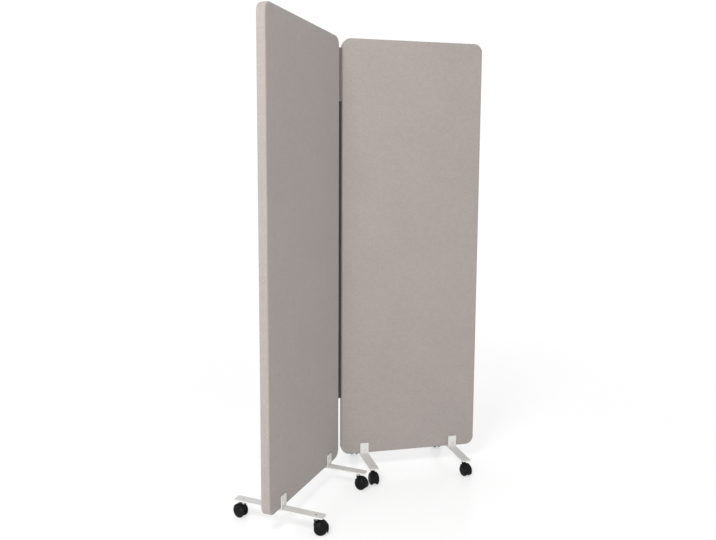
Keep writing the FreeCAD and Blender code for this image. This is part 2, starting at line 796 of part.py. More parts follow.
def tape(hand):
    """One half of the zipper tape, from the teeth to the rolled hem on its fold line."""
    sign = HANDS[hand]
    body = new_body(f"zip_tape_{hand}")
    start = size.teeth_slot * 0.5 + size.teeth_width
    half = size.tape_sheet * 0.5
    low, high = ((start, -half), (half_gap, half)) if sign > 0 else ((-half_gap, -half), (-start, half))
    outline = rectangle(body, f"{body.Name}_section", "XY_Plane", low, high)
    pad(body, f"{body.Name}_strip", outline, size.zipper_length)
    hem = body.newObject("PartDesign::AdditiveCylinder", f"{body.Name}_hem")
    hem.Placement = Placement(Vector(sign * half_gap.value, 0, 0), Rotation())
    bind(hem, Radius=size.tape_hem, Height=size.zipper_length)
    body.Placement = Placement(Vector(0, 0, zipper_foot.value), Rotation())
    return body


def head_flap():
    """Cloth strip above the zipper that closes the gap, with a rolled hem on both fold lines."""
    body = new_body("zip_head_flap")
    half = size.tape_sheet * 0.5
    outline = rectangle(body, "zip_head_flap_section", "XY_Plane", (-half_gap, -half), (half_gap, half))
    pad(body, "zip_head_flap_strip", outline, size.flap_height)
    for hand, sign in HANDS.items():
        hem = body.newObject("PartDesign::AdditiveCylinder", f"zip_head_flap_{hand}_hem")
        hem.Placement = Placement(Vector(sign * half_gap.value, 0, 0), Rotation())
        bind(hem, Radius=size.tape_hem, Height=size.flap_height)
    body.Placement = Placement(Vector(0, 0, (zipper_head + size.flap_gap).value), Rotation())
    return body


def teeth(hand):
    """One row of teeth as a plain strip."""
    sign = HANDS[hand]
    body = new_body(f"zip_teeth_{hand}")
    inner, outer = size.teeth_slot * 0.5, size.teeth_slot * 0.5 + size.teeth_width
    half = size.teeth_depth * 0.5
    low, high = ((inner, -half), (outer, half)) if sign > 0 else ((-outer, -half), (-inner, half))
    outline = rectangle(body, f"{body.Name}_section", "XY_Plane", low, high)
    pad(body, f"{body.Name}_strip", outline, size.zipper_length - size.box_height)
    body.Placement = Placement(Vector(0, 0, (zipper_foot + size.box_height).value), Rotation())
    return body


def retainer_box():
    """Box at the foot of the zipper that holds both tape ends."""
    body = new_body("zip_retainer_box")
    half = (size.teeth_slot * 0.5 + size.teeth_width, size.box_depth * 0.5)
    outline = rectangle(body, "zip_retainer_section", "XY_Plane", (-half[0], -half[1]), half)
    block = pad(body, "zip_retainer_block", outline, size.box_height)
    fillet(body, "zip_retainer_rounding", block, size.box_round, lambda e: along(e, 2))
    body.Placement = Placement(Vector(0, 0, zipper_foot.value), Rotation())
    return body


plate_inner = size.teeth_depth * 0.5 + size.slider_play
plate_outer = plate_inner + size.slider_sheet
pin_offset = plate_outer + size.pin_out


def slider_foot():
    """Level of the slider's lower end when the zipper is closed."""
    return zipper_head.value - size.slider_height.value - size.slider_rest.value


def zip_slider():
    """Slider: two plates joined by a thin neck between the rows of teeth, with two ears and a pin behind."""
    half = size.slider_width * 0.5
    parts = []
    for side, y in (("front", -plate_outer.value), ("rear", plate_inner.value)):
        parts.append(
            primitive(
                "Box",
                f"slider_{side}_plate",
                Vector(-half.value, y, 0),
                Length=size.slider_width,
                Width=size.slider_sheet,
                Height=size.slider_height,
            )
        )
    blade_foot = size.slider_height - size.blade_height
    parts.append(
        primitive(
            "Box",
            "slider_neck",
            Vector(-size.neck_sheet.value * 0.5, -plate_inner.value, blade_foot.value),
            Length=size.neck_sheet,
            Width=plate_inner * 2,
            Height=size.blade_height,
        )
    )
    ear_radius = size.pull_pin * 2
    for side in (-1, 1):
        left = size.ear_inner.value if side > 0 else -(size.ear_inner + size.ear_sheet).value
        parts.append(
            primitive(
                "Box",
                f"slider_ear_{'a' if side < 0 else 'b'}",
                Vector(left, plate_outer.value, size.pin_rise.value - ear_radius.value),
                Length=size.ear_sheet,
                Width=pin_offset - plate_outer + ear_radius,
                Height=ear_radius * 2,
            )
        )
    parts.append(
        primitive(
            "Cylinder",
            "slider_pin",
            Placement(Vector(-size.ear_inner.value, pin_offset.value, size.pin_rise.value), SIDEWAYS),
            Radius=size.pull_pin,
            Height=size.ear_inner * 2,
        )
    )
    slider = fuse("zip_slider", *parts)
    slider.Placement = Placement(Vector(0, 0, slider_foot()), Rotation())
    return slider


def zip_pull():
    """Pull tab that hangs from the slider's pin behind the zipper."""
    left, face = -size.pull_neck_half.value, -size.pull_sheet.value * 0.5
    across_pin = Placement(Vector(left, 0, 0), SIDEWAYS)
    width = size.pull_neck_half * 2
    barrel = primitive("Cylinder", "pull_eye", across_pin, Radius=size.pull_pin * 2, Height=width)
    bore = primitive("Cylinder", "pull_bore", across_pin, Radius=size.pull_pin + size.stem_play, Height=width)
    shank = primitive(
        "Box",
        "pull_shank",
        Vector(left, face, -size.pull_shank.value),
        Length=width,
        Width=size.pull_sheet,
        Height=size.pull_shank,
    )
    grip = primitive(
        "Box",
        "pull_grip",
        Vector(-size.pull_grip_half.value, face, -size.pull_length.value),
        Length=size.pull_grip_half * 2,
        Width=size.pull_sheet,
        Height=size.pull_length - size.pull_shank + size.pull_lap,
    )
    pull = cut("zip_pull", fuse("pull_solid", barrel, shank, grip), bore)
    pull.Placement = Placement(Vector(0, pin_offset.value, slider_foot() + size.pin_rise.value), Rotation())
    return pull


def zipper():
    nodes = [tape(hand) for hand in HANDS] + [teeth(hand) for hand in HANDS]
    nodes += [head_flap(), retainer_box(), zip_slider(), zip_pull()]
    for node in nodes:
        node.Placement = web_place * node.Placement
    travel = slider_foot() - (zipper_foot + size.box_height + size.slider_rest).value
    report("zip_slider", Vector(travel, 0, 0))
    report("zip_pull", nodes[-1].Placement.Base)
    return nodes


# ---- assembly ------------------------------------------------------------------------------------------------------

joint_lines = []


def report(name, *values):
    """Keeps a joint's place for the listing that is printed at the end."""
    joint_lines.append((name, values))


def build():
    nodes = zipper()
    for hand in HANDS:
        nodes += panel(hand) + feet(hand) + casters(hand)
        report(f"{hand}_fold", panel_places[hand].Base)
    doc.recompute()
    return nodes


def centre_on_footprint(nodes):
    """Moves every sub-part so that the footprint's middle is the origin, and returns that shift."""
    box = FreeCAD.BoundBox()
    for node in nodes:
        box.add(node.Shape.optimalBoundingBox(False))
    shift = Vector(-box.Center.x, -box.Center.y, 0)
    for node in nodes:
        node.Placement = Placement(shift, Rotation()) * node.Placement
    doc.recompute()
    print(f"box {box.XLength:.2f} x {box.YLength:.2f} x {box.ZLength:.2f}, foot {box.ZMin:.3f}")
    return shift


def check(nodes):
    for obj in doc.Objects:
        if set(obj.State) & {"Invalid", "Error"}:
            raise RuntimeError(f"{obj.Name}: {obj.State}")
    for node in nodes:
        if node.Shape.isNull() or not node.Shape.isValid() or not node.Shape.Solids:
            raise RuntimeError(f"{node.Name} has no valid solid")


def main():
    nodes = build()
    shift = centre_on_footprint(nodes)
    for node in nodes:
        node.Label = node.Name
    check(nodes)
    os.makedirs("parts", exist_ok=True)
    for node in nodes:
        node.Shape.exportStep(f"parts/{node.Label}.step")
    print(f"shift {shift.x:.6f} {shift.y:.6f}")
    print("travel", size.fold_travel.value, size.pedal_travel.value)
    for name, values in joint_lines:
        print("at", name, *(f"{v.x:.6f},{v.y:.6f},{v.z:.6f}" if isinstance(v, Vector) else v for v in values))
    print(len(nodes), "nodes")


main()
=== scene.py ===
"""Looks of the folding fabric screen: cloth covers, zipper, powder-coated feet and twin-wheel casters.

Shapes are written in millimetres in the frame of the panel, zipper web or caster that they belong
to, and are placed in metres. In a panel's frame X runs along it from its middle, Y crosses it and
its front faces -Y. In the web's frame X crosses the zipper. In a caster's frame the stem is on Z,
and the wheels trail towards +X on an axle parallel to Y.
"""

import json
import math

import bmesh
import bpy
import numpy as np
from mathutils import Matrix, Vector


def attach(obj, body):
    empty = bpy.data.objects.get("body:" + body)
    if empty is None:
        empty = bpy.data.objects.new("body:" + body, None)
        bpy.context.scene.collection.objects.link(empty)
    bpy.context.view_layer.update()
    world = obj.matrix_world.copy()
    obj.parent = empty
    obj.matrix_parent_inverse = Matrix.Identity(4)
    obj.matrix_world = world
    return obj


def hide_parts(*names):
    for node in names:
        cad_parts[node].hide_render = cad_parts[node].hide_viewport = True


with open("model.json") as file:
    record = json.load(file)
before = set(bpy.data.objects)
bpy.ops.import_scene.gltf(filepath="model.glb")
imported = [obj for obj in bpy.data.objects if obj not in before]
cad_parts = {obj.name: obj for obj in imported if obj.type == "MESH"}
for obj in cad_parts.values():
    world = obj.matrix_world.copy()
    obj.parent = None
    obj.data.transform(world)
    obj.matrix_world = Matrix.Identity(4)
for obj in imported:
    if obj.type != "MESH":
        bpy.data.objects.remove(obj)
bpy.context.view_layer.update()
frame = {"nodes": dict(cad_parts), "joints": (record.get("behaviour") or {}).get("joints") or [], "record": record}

MM = 0.001
SIDES = ("right", "left")
FEET = ("hinge", "free")
ENDS = ("front", "rear")
JOINTS = {joint["name"]: joint for joint in frame["joints"]}

# Panel
HALF_WIDTH, HALF_HEIGHT = 300.0, 862.5
PANEL_FOOT, HALF_THICKNESS = 75.0, 17.5
CORNER = 35.0
FACE_ROUND = 5.5
# Feet
FOOT_OFFSET = 200.0
CLAMP_LEVEL = 92.5
FLANGE_FACE = 21.0
BAR_TOP, BAR_FOOT = 71.5, 66.5
CASTER_REACH = 147.0
LOCK_NUT_HEIGHT = 4.5
SOCKET_APOTHEM = 1.9
# Zipper
ZIP_FOOT, ZIP_HEAD = 320.0, 1555.0
TOOTH_PITCH = 2.54
BOX_HEIGHT = 12.0
SLIDER_FOOT, SLIDER_HEIGHT = 1539.0, 14.0
SLIDER_HEAD = SLIDER_FOOT + SLIDER_HEIGHT
PIN_OFFSET, PIN_LEVEL = 4.8, 1547.4
FLAP_GAP, FLAP_HEIGHT = 1.0, 208.0
# Caster
AXLE_X, AXLE_Z = 15.0, 24.0
AXLE_HALF = 17.0
NECK_TOP = 53.0
HOOD_RADIUS = 27.0
HOOD_BACK, HOOD_FRONT = -24.0, 156.0
# Meshing, in metres
SEAM_GAP, SLIVER = 2e-6, 1e-7


# ---- meshes --------------------------------------------------------------------------------------


def quads(rows, columns, ring=False, loop=False):
    """Quads of a grid stored row by row.

    A ring joins its last column to the first, and a loop its last row to the first.
    """
    r = np.arange(rows if loop else rows - 1)
    c = np.arange(columns if ring else columns - 1)
    r, c = np.meshgrid(r, c, indexing="ij")
    r2, c2 = (r + 1) % rows, (c + 1) % columns
    corners = [r * columns + c, r * columns + c2, r2 * columns + c2, r2 * columns + c]
    return np.stack(corners, -1).reshape(-1, 4)


def surface(points, ring=False, loop=False, uv=None, finish=0):
    """One patch: the points of a grid, its quads, its flat coordinates and its finish's index."""
    rows, columns = points.shape[:2]
    faces = quads(rows, columns, ring, loop)
    flat = None if uv is None else uv.reshape(-1, 2)
    return [points.reshape(-1, 3), faces, flat, np.broadcast_to(finish, len(faces))]


def volume(points, faces):
    """Signed volume of a closed patch: the sum of the tetrahedra from its middle to its triangles."""
    p = points - points.mean(0)
    a, b, c, d = (p[faces[:, k]] for k in range(4))
    return float((a * (np.cross(b, c) + np.cross(c, d))).sum())


def outward(patch, toward=None):
    """Turns a closed patch round if its volume is negative, and an open one if it faces away from toward."""
    points, faces = patch[0], patch[1]
    if toward is None:
        sign = volume(points, faces)
    else:
        a, b, c, d = (points[faces[:, k]] for k in range(4))
        sign = float(np.cross(c - a, d - b).sum(0) @ np.array(toward, float))
    if sign < 0:
        patch[1] = faces[:, ::-1]
    return patch


def moved(patch, origin=(0, 0, 0), turn=None):
    """The patch turned by a 3 x 3 matrix and then shifted."""
    points = patch[0] if turn is None else patch[0] @ np.array(turn).T
    return [points + np.array(origin, float), *patch[1:]]


def about_z(degrees):
    """Matrix of a turn about Z."""
    c, s = math.cos(math.radians(degrees)), math.sin(math.radians(degrees))
    return np.array([[c, -s, 0], [s, c, 0], [0, 0, 1]])


Z_TO_Y = np.array([[1, 0, 0], [0, 0, 1], [0, -1, 0]], float)  # turns an upright axis to point along +Y
Z_TO_X = np.array([[0, 0, 1], [0, 1, 0], [-1, 0, 0]], float)  # turns an upright axis to point along +X


def piece(name, patches, finishes, body, replaces=(), place=None, sharp=34):
    """Joins patches into one mesh, closes its seams and poles, and lets it ride on a body.

    place is the origin, in metres, and the turn of the patches' frame in the object's frame.
    """
    points, faces, flats, marks, start = [], [], [], [], 0
    for patch in patches:
        points.append(patch[0])
        faces.append(patch[1] + start)
        flats.append(np.zeros((len(patch[0]), 2)) if patch[2] is None else patch[2])
        marks.append(patch[3])
        start += len(patch[0])
    points, faces, flats, marks = (np.concatenate(x) for x in (points, faces, flats, marks))
    origin, turn = place or ((0, 0, 0), np.eye(3))
    world = (points @ np.array(turn).T) * MM + np.array(origin, float)
    mesh = bpy.data.meshes.new(name)
    mesh.vertices.add(len(world))
    mesh.vertices.foreach_set("co", world.astype(np.float32).ravel())
    mesh.loops.add(faces.size)
    mesh.loops.foreach_set("vertex_index", faces.astype(np.int32).ravel())
    mesh.polygons.add(len(faces))
    mesh.polygons.foreach_set("loop_start", np.arange(0, faces.size, 4, dtype=np.int32))
    mesh.polygons.foreach_set("material_index", marks.astype(np.int32))
    layer = mesh.uv_layers.new(name="cloth")
    layer.data.foreach_set("uv", (flats[faces.ravel()] * MM).astype(np.float32).ravel())
    mesh.update(calc_edges=True)
    work = bmesh.new()
    work.from_mesh(mesh)
    bmesh.ops.remove_doubles(work, verts=work.verts, dist=SEAM_GAP)
    bmesh.ops.dissolve_degenerate(work, edges=work.edges, dist=SLIVER)
    work.to_mesh(mesh)
    work.free()
    mesh.validate()
    mesh.shade_smooth()
    mesh.set_sharp_from_angle(angle=math.radians(sharp))
    for finish in finishes:
        mesh.materials.append(finish)
    made = bpy.data.objects.new(name, mesh)
    bpy.context.scene.collection.objects.link(made)
    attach(made, body)
    if replaces:
        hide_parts(*replaces)
    return made


def turned_profile(profile, steps=32, loop=False, finish=0, radius=None):
    """Surface of revolution: each profile point (r, h) is carried round Z at r, or at radius(r, angle)."""
    profile = np.array(profile, float)
    angle = np.arange(steps) * (2 * math.pi / steps)
    r = np.repeat(profile[:, :1], steps, 1)
    if radius is not None:
        r = radius(r, angle[None, :], profile[:, 1:2])
    points = np.stack([r * np.cos(angle), r * np.sin(angle), np.repeat(profile[:, 1:2], steps, 1)], -1)
    marks = finish if np.isscalar(finish) else np.repeat(np.array(finish), steps)
    return outward(surface(points, ring=True, loop=loop, finish=marks))


def hexagon(apothem, angle):
    """Distance from a hexagon's middle to its side.

    It is the apothem over the cosine of the angle from the nearest flat.
    """
    return apothem / np.cos((angle + math.pi / 6) % (math.pi / 3) - math.pi / 6)


def outline_normals(outline):
    """Outward unit normals of a closed anticlockwise outline, square to the line between neighbours."""
    run = np.roll(outline, -1, 0) - np.roll(outline, 1, 0)
    run /= np.linalg.norm(run, axis=1)[:, None]
    return np.stack([run[:, 1], -run[:, 0]], -1)


def slab(outline, low, high, rounding, steps=3):
    """Flat plate with rounded rims.

    The outline (x, z) is inset by r (1 - sin a) where its depth is r (1 - cos a) from a face.
    """
    outline = np.array(outline, float)
    normals = outline_normals(outline)
    a = np.linspace(0, math.pi / 2, steps + 1)
    inset, rise = rounding * (1 - np.sin(a)), rounding * (1 - np.cos(a))
    levels = [(d, low + h) for d, h in zip(inset, rise)]
    levels += [(d, high - h) for d, h in zip(inset[::-1], rise[::-1])]
    rows = [np.column_stack([outline - normals * d, np.full(len(outline), h)]) for d, h in levels]
    middle = np.array([*outline.mean(0), 0])
    first, last = (np.tile(middle + [0, 0, h], (len(outline), 1)) for h in (low, high))
    grid = np.stack([first, *rows, last])[:, :, [0, 2, 1]]
    return outward(surface(grid, ring=True))


def frame_plate(outer, inner, low, high, rounding):
    """Plate with a hole.

    A loop of rows runs from the outer outline over the top to the inner one and back below.
    """
    outer, inner = np.array(outer, float), np.array(inner, float)
    n_out, n_in = outline_normals(outer), outline_normals(inner)
    r = rounding
    rows = []
    for line, n, s, d, h in (
        (outer, n_out, -1, r, low), (outer, n_out, -1, 0, low + r), (outer, n_out, -1, 0, high - r),
        (outer, n_out, -1, r, high), (inner, n_in, 1, r, high), (inner, n_in, 1, 0, high - r),
        (inner, n_in, 1, 0, low + r), (inner, n_in, 1, r, low),
    ):
        rows.append(np.column_stack([line + n * d * s, np.full(len(line), h)]))
    return outward(surface(np.stack(rows)[:, :, [0, 2, 1]], ring=True, loop=True))


def stadium(half, low, high, steps=10):
    """Closed outline of two half circles joined by straight sides, anticlockwise."""
    a = np.linspace(0, math.pi, steps)
    top = np.column_stack([half * np.cos(a), high - half + half * np.sin(a)])
    foot = np.column_stack([-half * np.cos(a), low + half - half * np.sin(a)])
    return np.vstack([top, foot])


def mirrored(outline, way):
    """The outline, or its mirror image in x run backwards, so that it stays anticlockwise."""
    outline = np.array(outline, float)
    return outline if way > 0 else outline[::-1] * [-1, 1]


def carried(section, angles, swell=None):
    """Section (y, r) carried round the caster's axle line, with both ends closed flat.

    A point lies r cos a along x and r sin a along z from the axle, after swell has changed r.
    """
    section, angles = np.array(section, float), np.radians(angles)
    y = np.repeat(section[None, :, 0], len(angles), 0)
    r = np.repeat(section[None, :, 1], len(angles), 0)
    angles = angles[:, None]
    if swell is not None:
        r = swell(r, angles)
    grid = np.stack([AXLE_X + r * np.cos(angles), y, AXLE_Z + r * np.sin(angles)], -1)
    ends = [np.tile(grid[k].mean(0), (1, len(section), 1)) for k in (0, -1)]
    return outward(surface(np.concatenate([ends[0], grid, ends[1]]), ring=True))


def smooth(t):
    """Eased step from 0 to 1: three times t squared less twice t cubed."""
    t = np.clip(t, 0, 1)
    return t * t * (3 - 2 * t)


# ---- finishes ------------------------------------------------------------------------------------


class Finish:
    """A node material that is built up step by step."""

    def __init__(self, name, colour, rough, **sockets):
        """Starts a material with its base colour, its roughness and any other sockets."""
        self.material = bpy.data.materials.new(name)
        self.material.use_nodes = True
        self.tree = self.material.node_tree
        self.shader = self.tree.nodes["Principled BSDF"]
        self.colour = (*colour, 1)
        self.set(Base_Color=self.colour, Roughness=rough, **sockets)

    def set(self, **sockets):
        """Sets the shader's sockets, named with underlines for spaces."""
        for name, value in sockets.items():
            self.shader.inputs[name.replace("_", " ")].default_value = value

    def node(self, kind, **settings):
        """New shader node of that kind."""
        node = self.tree.nodes.new(f"ShaderNode{kind}")
        for name, value in settings.items():
            setattr(node, name, value)
        return node

    def join(self, source, target):
        """Link from one socket to another."""
        self.tree.links.new(source, target)

    def coordinates(self, flat=False, scale=(1, 1, 1)):
        """Object coordinates, or the piece's own flat ones, stretched by scale."""
        if flat:
            source = self.node("UVMap", uv_map="cloth").outputs[0]
        else:
            source = self.node("TexCoord").outputs["Object"]
        mapping = self.node("Mapping")
        mapping.inputs["Scale"].default_value = scale
        self.join(source, mapping.inputs["Vector"])
        return mapping.outputs[0]

    def noise(self, size, detail=3.0, place=None):
        """Noise whose features are about size millimetres wide."""
        node = self.node("TexNoise")
        node.inputs["Scale"].default_value = 1000.0 / size
        node.inputs["Detail"].default_value = detail
        node.inputs["Roughness"].default_value = 0.55
        self.join(place or self.coordinates(), node.inputs["Vector"])
        return node.outputs["Fac"]

    def math(self, operation, a, b=0.0, c=0.0):
        """Result of an operation on numbers or sockets."""
        node = self.node("Math", operation=operation)
        for socket, value in zip(node.inputs, (a, b, c)):
            if isinstance(value, (int, float)):
                socket.default_value = value
            else:
                self.join(value, socket)
        return node.outputs[0]

    def span(self, value, low, high, to_low, to_high):
        """The value carried from one range to another."""
        node = self.node("MapRange")
        self.join(value, node.inputs["Value"])
        for name, number in (("From Min", low), ("From Max", high), ("To Min", to_low), ("To Max", to_high)):
            node.inputs[name].default_value = number
        return node.outputs[0]

    def shade(self, value, low, high):
        """Colour scaled between low and high times the base colour as value runs from 0 to 1."""
        mix = self.node("Mix", data_type="RGBA")
        self.join(value, mix.inputs["Factor"])
        for socket, factor in ((mix.inputs[6], low), (mix.inputs[7], high)):
            factor = (factor,) * 3 if isinstance(factor, (int, float)) else factor
            socket.default_value = (*(c * f for c, f in zip(self.colour, factor)), 1)
        self.join(mix.outputs[2], self.shader.inputs["Base Color"])

    def vary_rough(self, value, low, high):
        """Roughness that runs from low to high as value runs from 0 to 1."""
        self.join(self.span(value, 0, 1, low, high), self.shader.inputs["Roughness"])

    def relief(self, height, depth, strength=1.0):
        """Bump of that depth in millimetres."""
        node = self.node("Bump")
        node.inputs["Distance"].default_value = depth * MM
        node.inputs["Strength"].default_value = strength
        self.join(height, node.inputs["Height"])
        self.join(node.outputs[0], self.shader.inputs["Normal"])


def woven_cloth():
    """Melange plain weave: warp and weft cross at 1.3 mm, each yarn uneven in tone along its length, with painted
    shade in the valleys between the yarns.
    """
    pitch = 1.3
    cloth = Finish("woven_cloth", (0.293, 0.261, 0.2445), 0.92, Sheen_Weight=0.22, Sheen_Roughness=0.55,
                   Sheen_Tint=(0.9, 0.88, 0.86, 1), Specular_IOR_Level=0.25)
    split = cloth.node("SeparateXYZ")
    cloth.join(cloth.coordinates(flat=True), split.inputs[0])
    rate = math.pi / (pitch * MM)
    across = cloth.math("SINE", cloth.math("MULTIPLY", split.outputs[0], rate))
    along = cloth.math("SINE", cloth.math("MULTIPLY", split.outputs[1], rate))
    over = cloth.math("GREATER_THAN", cloth.math("MULTIPLY", across, along), 0.0)
    yarns = cloth.math("MULTIPLY", cloth.math("ABSOLUTE", across), cloth.math("ABSOLUTE", along))
    warp = cloth.noise(2.2, 2.0, cloth.coordinates(flat=True, scale=(1.0, 0.22, 1.0)))
    weft = cloth.noise(2.2, 2.0, cloth.coordinates(flat=True, scale=(0.22, 1.0, 1.0)))
    fleck = cloth.math("ADD", cloth.math("MULTIPLY", warp, over),
                       cloth.math("MULTIPLY", weft, cloth.math("SUBTRACT", 1.0, over)))
    cloud = cloth.noise(26.0, 3.0, cloth.coordinates(flat=True))
    broad = cloth.noise(220.0, 2.0, cloth.coordinates(flat=True))
    drift = cloth.math("ADD", cloth.math("MULTIPLY", cloud, 0.28), cloth.math("MULTIPLY", broad, 0.22))
    tone = cloth.math("ADD", cloth.math("MULTIPLY", cloth.span(fleck, 0.3, 0.7, 0, 1), 0.62), drift)
    # The valleys between the yarns are made a little darker: painted shade.
    tone = cloth.math("SUBTRACT", tone, cloth.math("MULTIPLY", cloth.math("SUBTRACT", 1.0, yarns), 0.06))
    cloth.shade(tone, (0.72, 0.72, 0.72), (1.2, 1.2, 1.21))
    cloth.relief(cloth.math("ADD", yarns, cloth.math("MULTIPLY", fleck, 0.7)), 0.28, 0.85)
    return cloth.material


def powder_coat():
    """Light grey powder coat: fine orange peel, slightly uneven gloss."""
    coat = Finish("powder_coat", (0.565, 0.560, 0.545), 0.42, Specular_IOR_Level=0.45, Coat_Weight=0.15,
                  Coat_Roughness=0.3)
    peel = coat.noise(1.1, 2.0)
    coat.shade(coat.noise(30.0), 0.95, 1.04)
    coat.vary_rough(coat.noise(6.0), 0.34, 0.52)
    coat.relief(peel, 0.05, 0.6)
    return coat.material


def zinc_plate():
    """Zinc plate, cloudy in tone and gloss."""
    zinc = Finish("zinc_plate", (0.74, 0.75, 0.76), 0.28, Metallic=1.0)
    cloud = zinc.noise(5.0, 4.0)
    zinc.shade(cloud, 0.82, 1.08)
    zinc.vary_rough(cloud, 0.2, 0.4)
    zinc.relief(zinc.noise(0.6), 0.01, 0.5)
    return zinc.material


def moulded_nylon(name, colour, rough, grain):
    """Moulded black plastic with a fine spark-eroded grain and a faintly uneven gloss."""
    nylon = Finish(name, colour, rough, Specular_IOR_Level=0.09)
    nylon.shade(nylon.noise(9.0), 0.75, 1.35)
    nylon.vary_rough(nylon.noise(4.0), rough * 0.85, rough * 1.2)
    nylon.relief(nylon.noise(0.45, 2.0), grain, 0.6)
    return nylon.material


def zip_tape_cloth():
    """Herringbone tape: ribs that slant one way and then the other every 3 mm across the tape, with painted light
    on their crests and painted shade in their grooves.
    """
    rib_width, rib_pitch = 3.0 * MM, 0.7 * MM
    tape = Finish("zip_tape_cloth", (0.070, 0.064, 0.060), 0.85, Sheen_Weight=0.12, Sheen_Roughness=0.5)
    split = tape.node("SeparateXYZ")
    tape.join(tape.coordinates(flat=True), split.inputs[0])
    zigzag = tape.math("PINGPONG", split.outputs[0], rib_width)
    slant = tape.math("ADD", split.outputs[1], zigzag)
    ribs = tape.math("SINE", tape.math("MULTIPLY", slant, 2 * math.pi / rib_pitch))
    # The colour follows the ribs, lighter on their crests and darker in the grooves: painted light and shade.
    tape.shade(tape.span(ribs, -1, 1, 0, 1), 0.7, 1.5)
    tape.relief(ribs, 0.12, 0.7)
    return tape.material


def pressed_felt():
    """Grey pressed felt, mottled and rough."""
    felt = Finish("pressed_felt", (0.5, 0.5, 0.5), 0.95)
    felt.shade(felt.noise(3.0, 4.0), 0.8, 1.15)
    felt.relief(felt.noise(1.2, 4.0), 0.3)
    return felt.material


def planed_softwood():
    """Softwood: rings as stretched noise along the grain."""
    wood = Finish("planed_softwood", (0.62, 0.47, 0.31), 0.6)
    grain = wood.noise(7.0, 4.0, wood.coordinates(scale=(1.0, 1.0, 0.06)))
    wood.shade(grain, (0.78, 0.72, 0.62), (1.12, 1.1, 1.05))
    wood.relief(grain, 0.1, 0.4)
    return wood.material


FINISH = {
    "cover_fabric": woven_cloth(),
    "powder_coat": powder_coat(),
    "zinc_plate": zinc_plate(),
    "hood_plastic": moulded_nylon("hood_nylon", (0.006, 0.006, 0.0065), 0.42, 0.02),
    "wheel_plastic": moulded_nylon("wheel_nylon", (0.005, 0.005, 0.0055), 0.34, 0.012),
    "tread": moulded_nylon("wheel_tread", (0.012, 0.012, 0.0125), 0.6, 0.03),
    "zip_tape": zip_tape_cloth(),
    "zip_teeth": moulded_nylon("zip_teeth_nylon", (0.014, 0.014, 0.014), 0.35, 0.01),
    "zip_metal": moulded_nylon("zip_black_enamel", (0.02, 0.02, 0.02), 0.3, 0.006),
    "acoustic_felt": pressed_felt(),
    "frame_timber": planed_softwood(),
}

# A node that no piece replaces shows in the finish of its own slot.
for row in frame["record"]["subparts"]:
    mesh = frame["nodes"][row["node"]].data
    mesh.materials.clear()
    mesh.materials.append(FINISH[row["material_slot"]])


# ---- where the frames lie ------------------------------------------------------------------------

fold_points = {side: np.array(JOINTS[f"fold_{side}_edge"]["pos_m"]) * [1, 1, 0] for side in SIDES}
web_line = fold_points["right"] - fold_points["left"]
web_turn = math.degrees(math.atan2(web_line[1], web_line[0]))
WEB = ((fold_points["right"] + fold_points["left"]) / 2, about_z(web_turn))
PANEL = {}
for side, turn, way in (("right", 0.0, 1), ("left", 2 * web_turn, -1)):
    middle = fold_points[side] + about_z(turn) @ np.array([way * HALF_WIDTH, 0, 0]) * MM
    PANEL[side] = (middle, about_z(turn))


def caster_place(name):
    """Origin on the floor under the stem, and the turn of the caster's frame in the object's."""
    stem = np.array(JOINTS[f"{name}_swivel"]["pos_m"]) * [1, 1, 0]
    across = JOINTS[f"{name}_roll_a"]["axis"]
    return stem, about_z(math.degrees(math.atan2(-across[0], across[1])))


def stations(side):
    """X of the hinge foot and of the free foot in the panel's frame."""
    way = 1 if side == "right" else -1
    return {"hinge": -way * FOOT_OFFSET, "free": way * FOOT_OFFSET}


# ---- cloth covers --------------------------------------------------------------------------------


def cover_height(x, z, feet):
    """Height of the cloth over the face plane.

    It is a soft crown that fades to the edges, plus long faint waves left by the stretching, with a
    hollow where the two foot clamps press on the bottom edge.
    """
    crown_height, crown_fade, wave_fade = 0.9, 38, 60
    clamp_half, clamp_top, clamp_press = 32, 64, 0.25
    from_side, from_end = HALF_WIDTH - np.abs(x), HALF_HEIGHT - np.abs(z)
    crown = crown_height * (1 - np.exp(-from_side / crown_fade)) * (1 - np.exp(-from_end / crown_fade))
    waves = 0.10 * np.sin(x / 47 + 1.3 * np.sin(z / 210)) + 0.12 * np.sin(z / 83 + x / 190 + 0.7)
    waves = waves * np.clip(from_side / wave_fade, 0, 1) * np.clip(from_end / wave_fade, 0, 1)
    press = np.zeros_like(x)
    for foot_x in feet:
        beside = smooth((clamp_half - np.abs(x - foot_x)) / 11)
        press = np.maximum(press, beside * smooth((clamp_top - (z + HALF_HEIGHT)) / 14))
    return (crown + waves) * (1 - press) - clamp_press * press


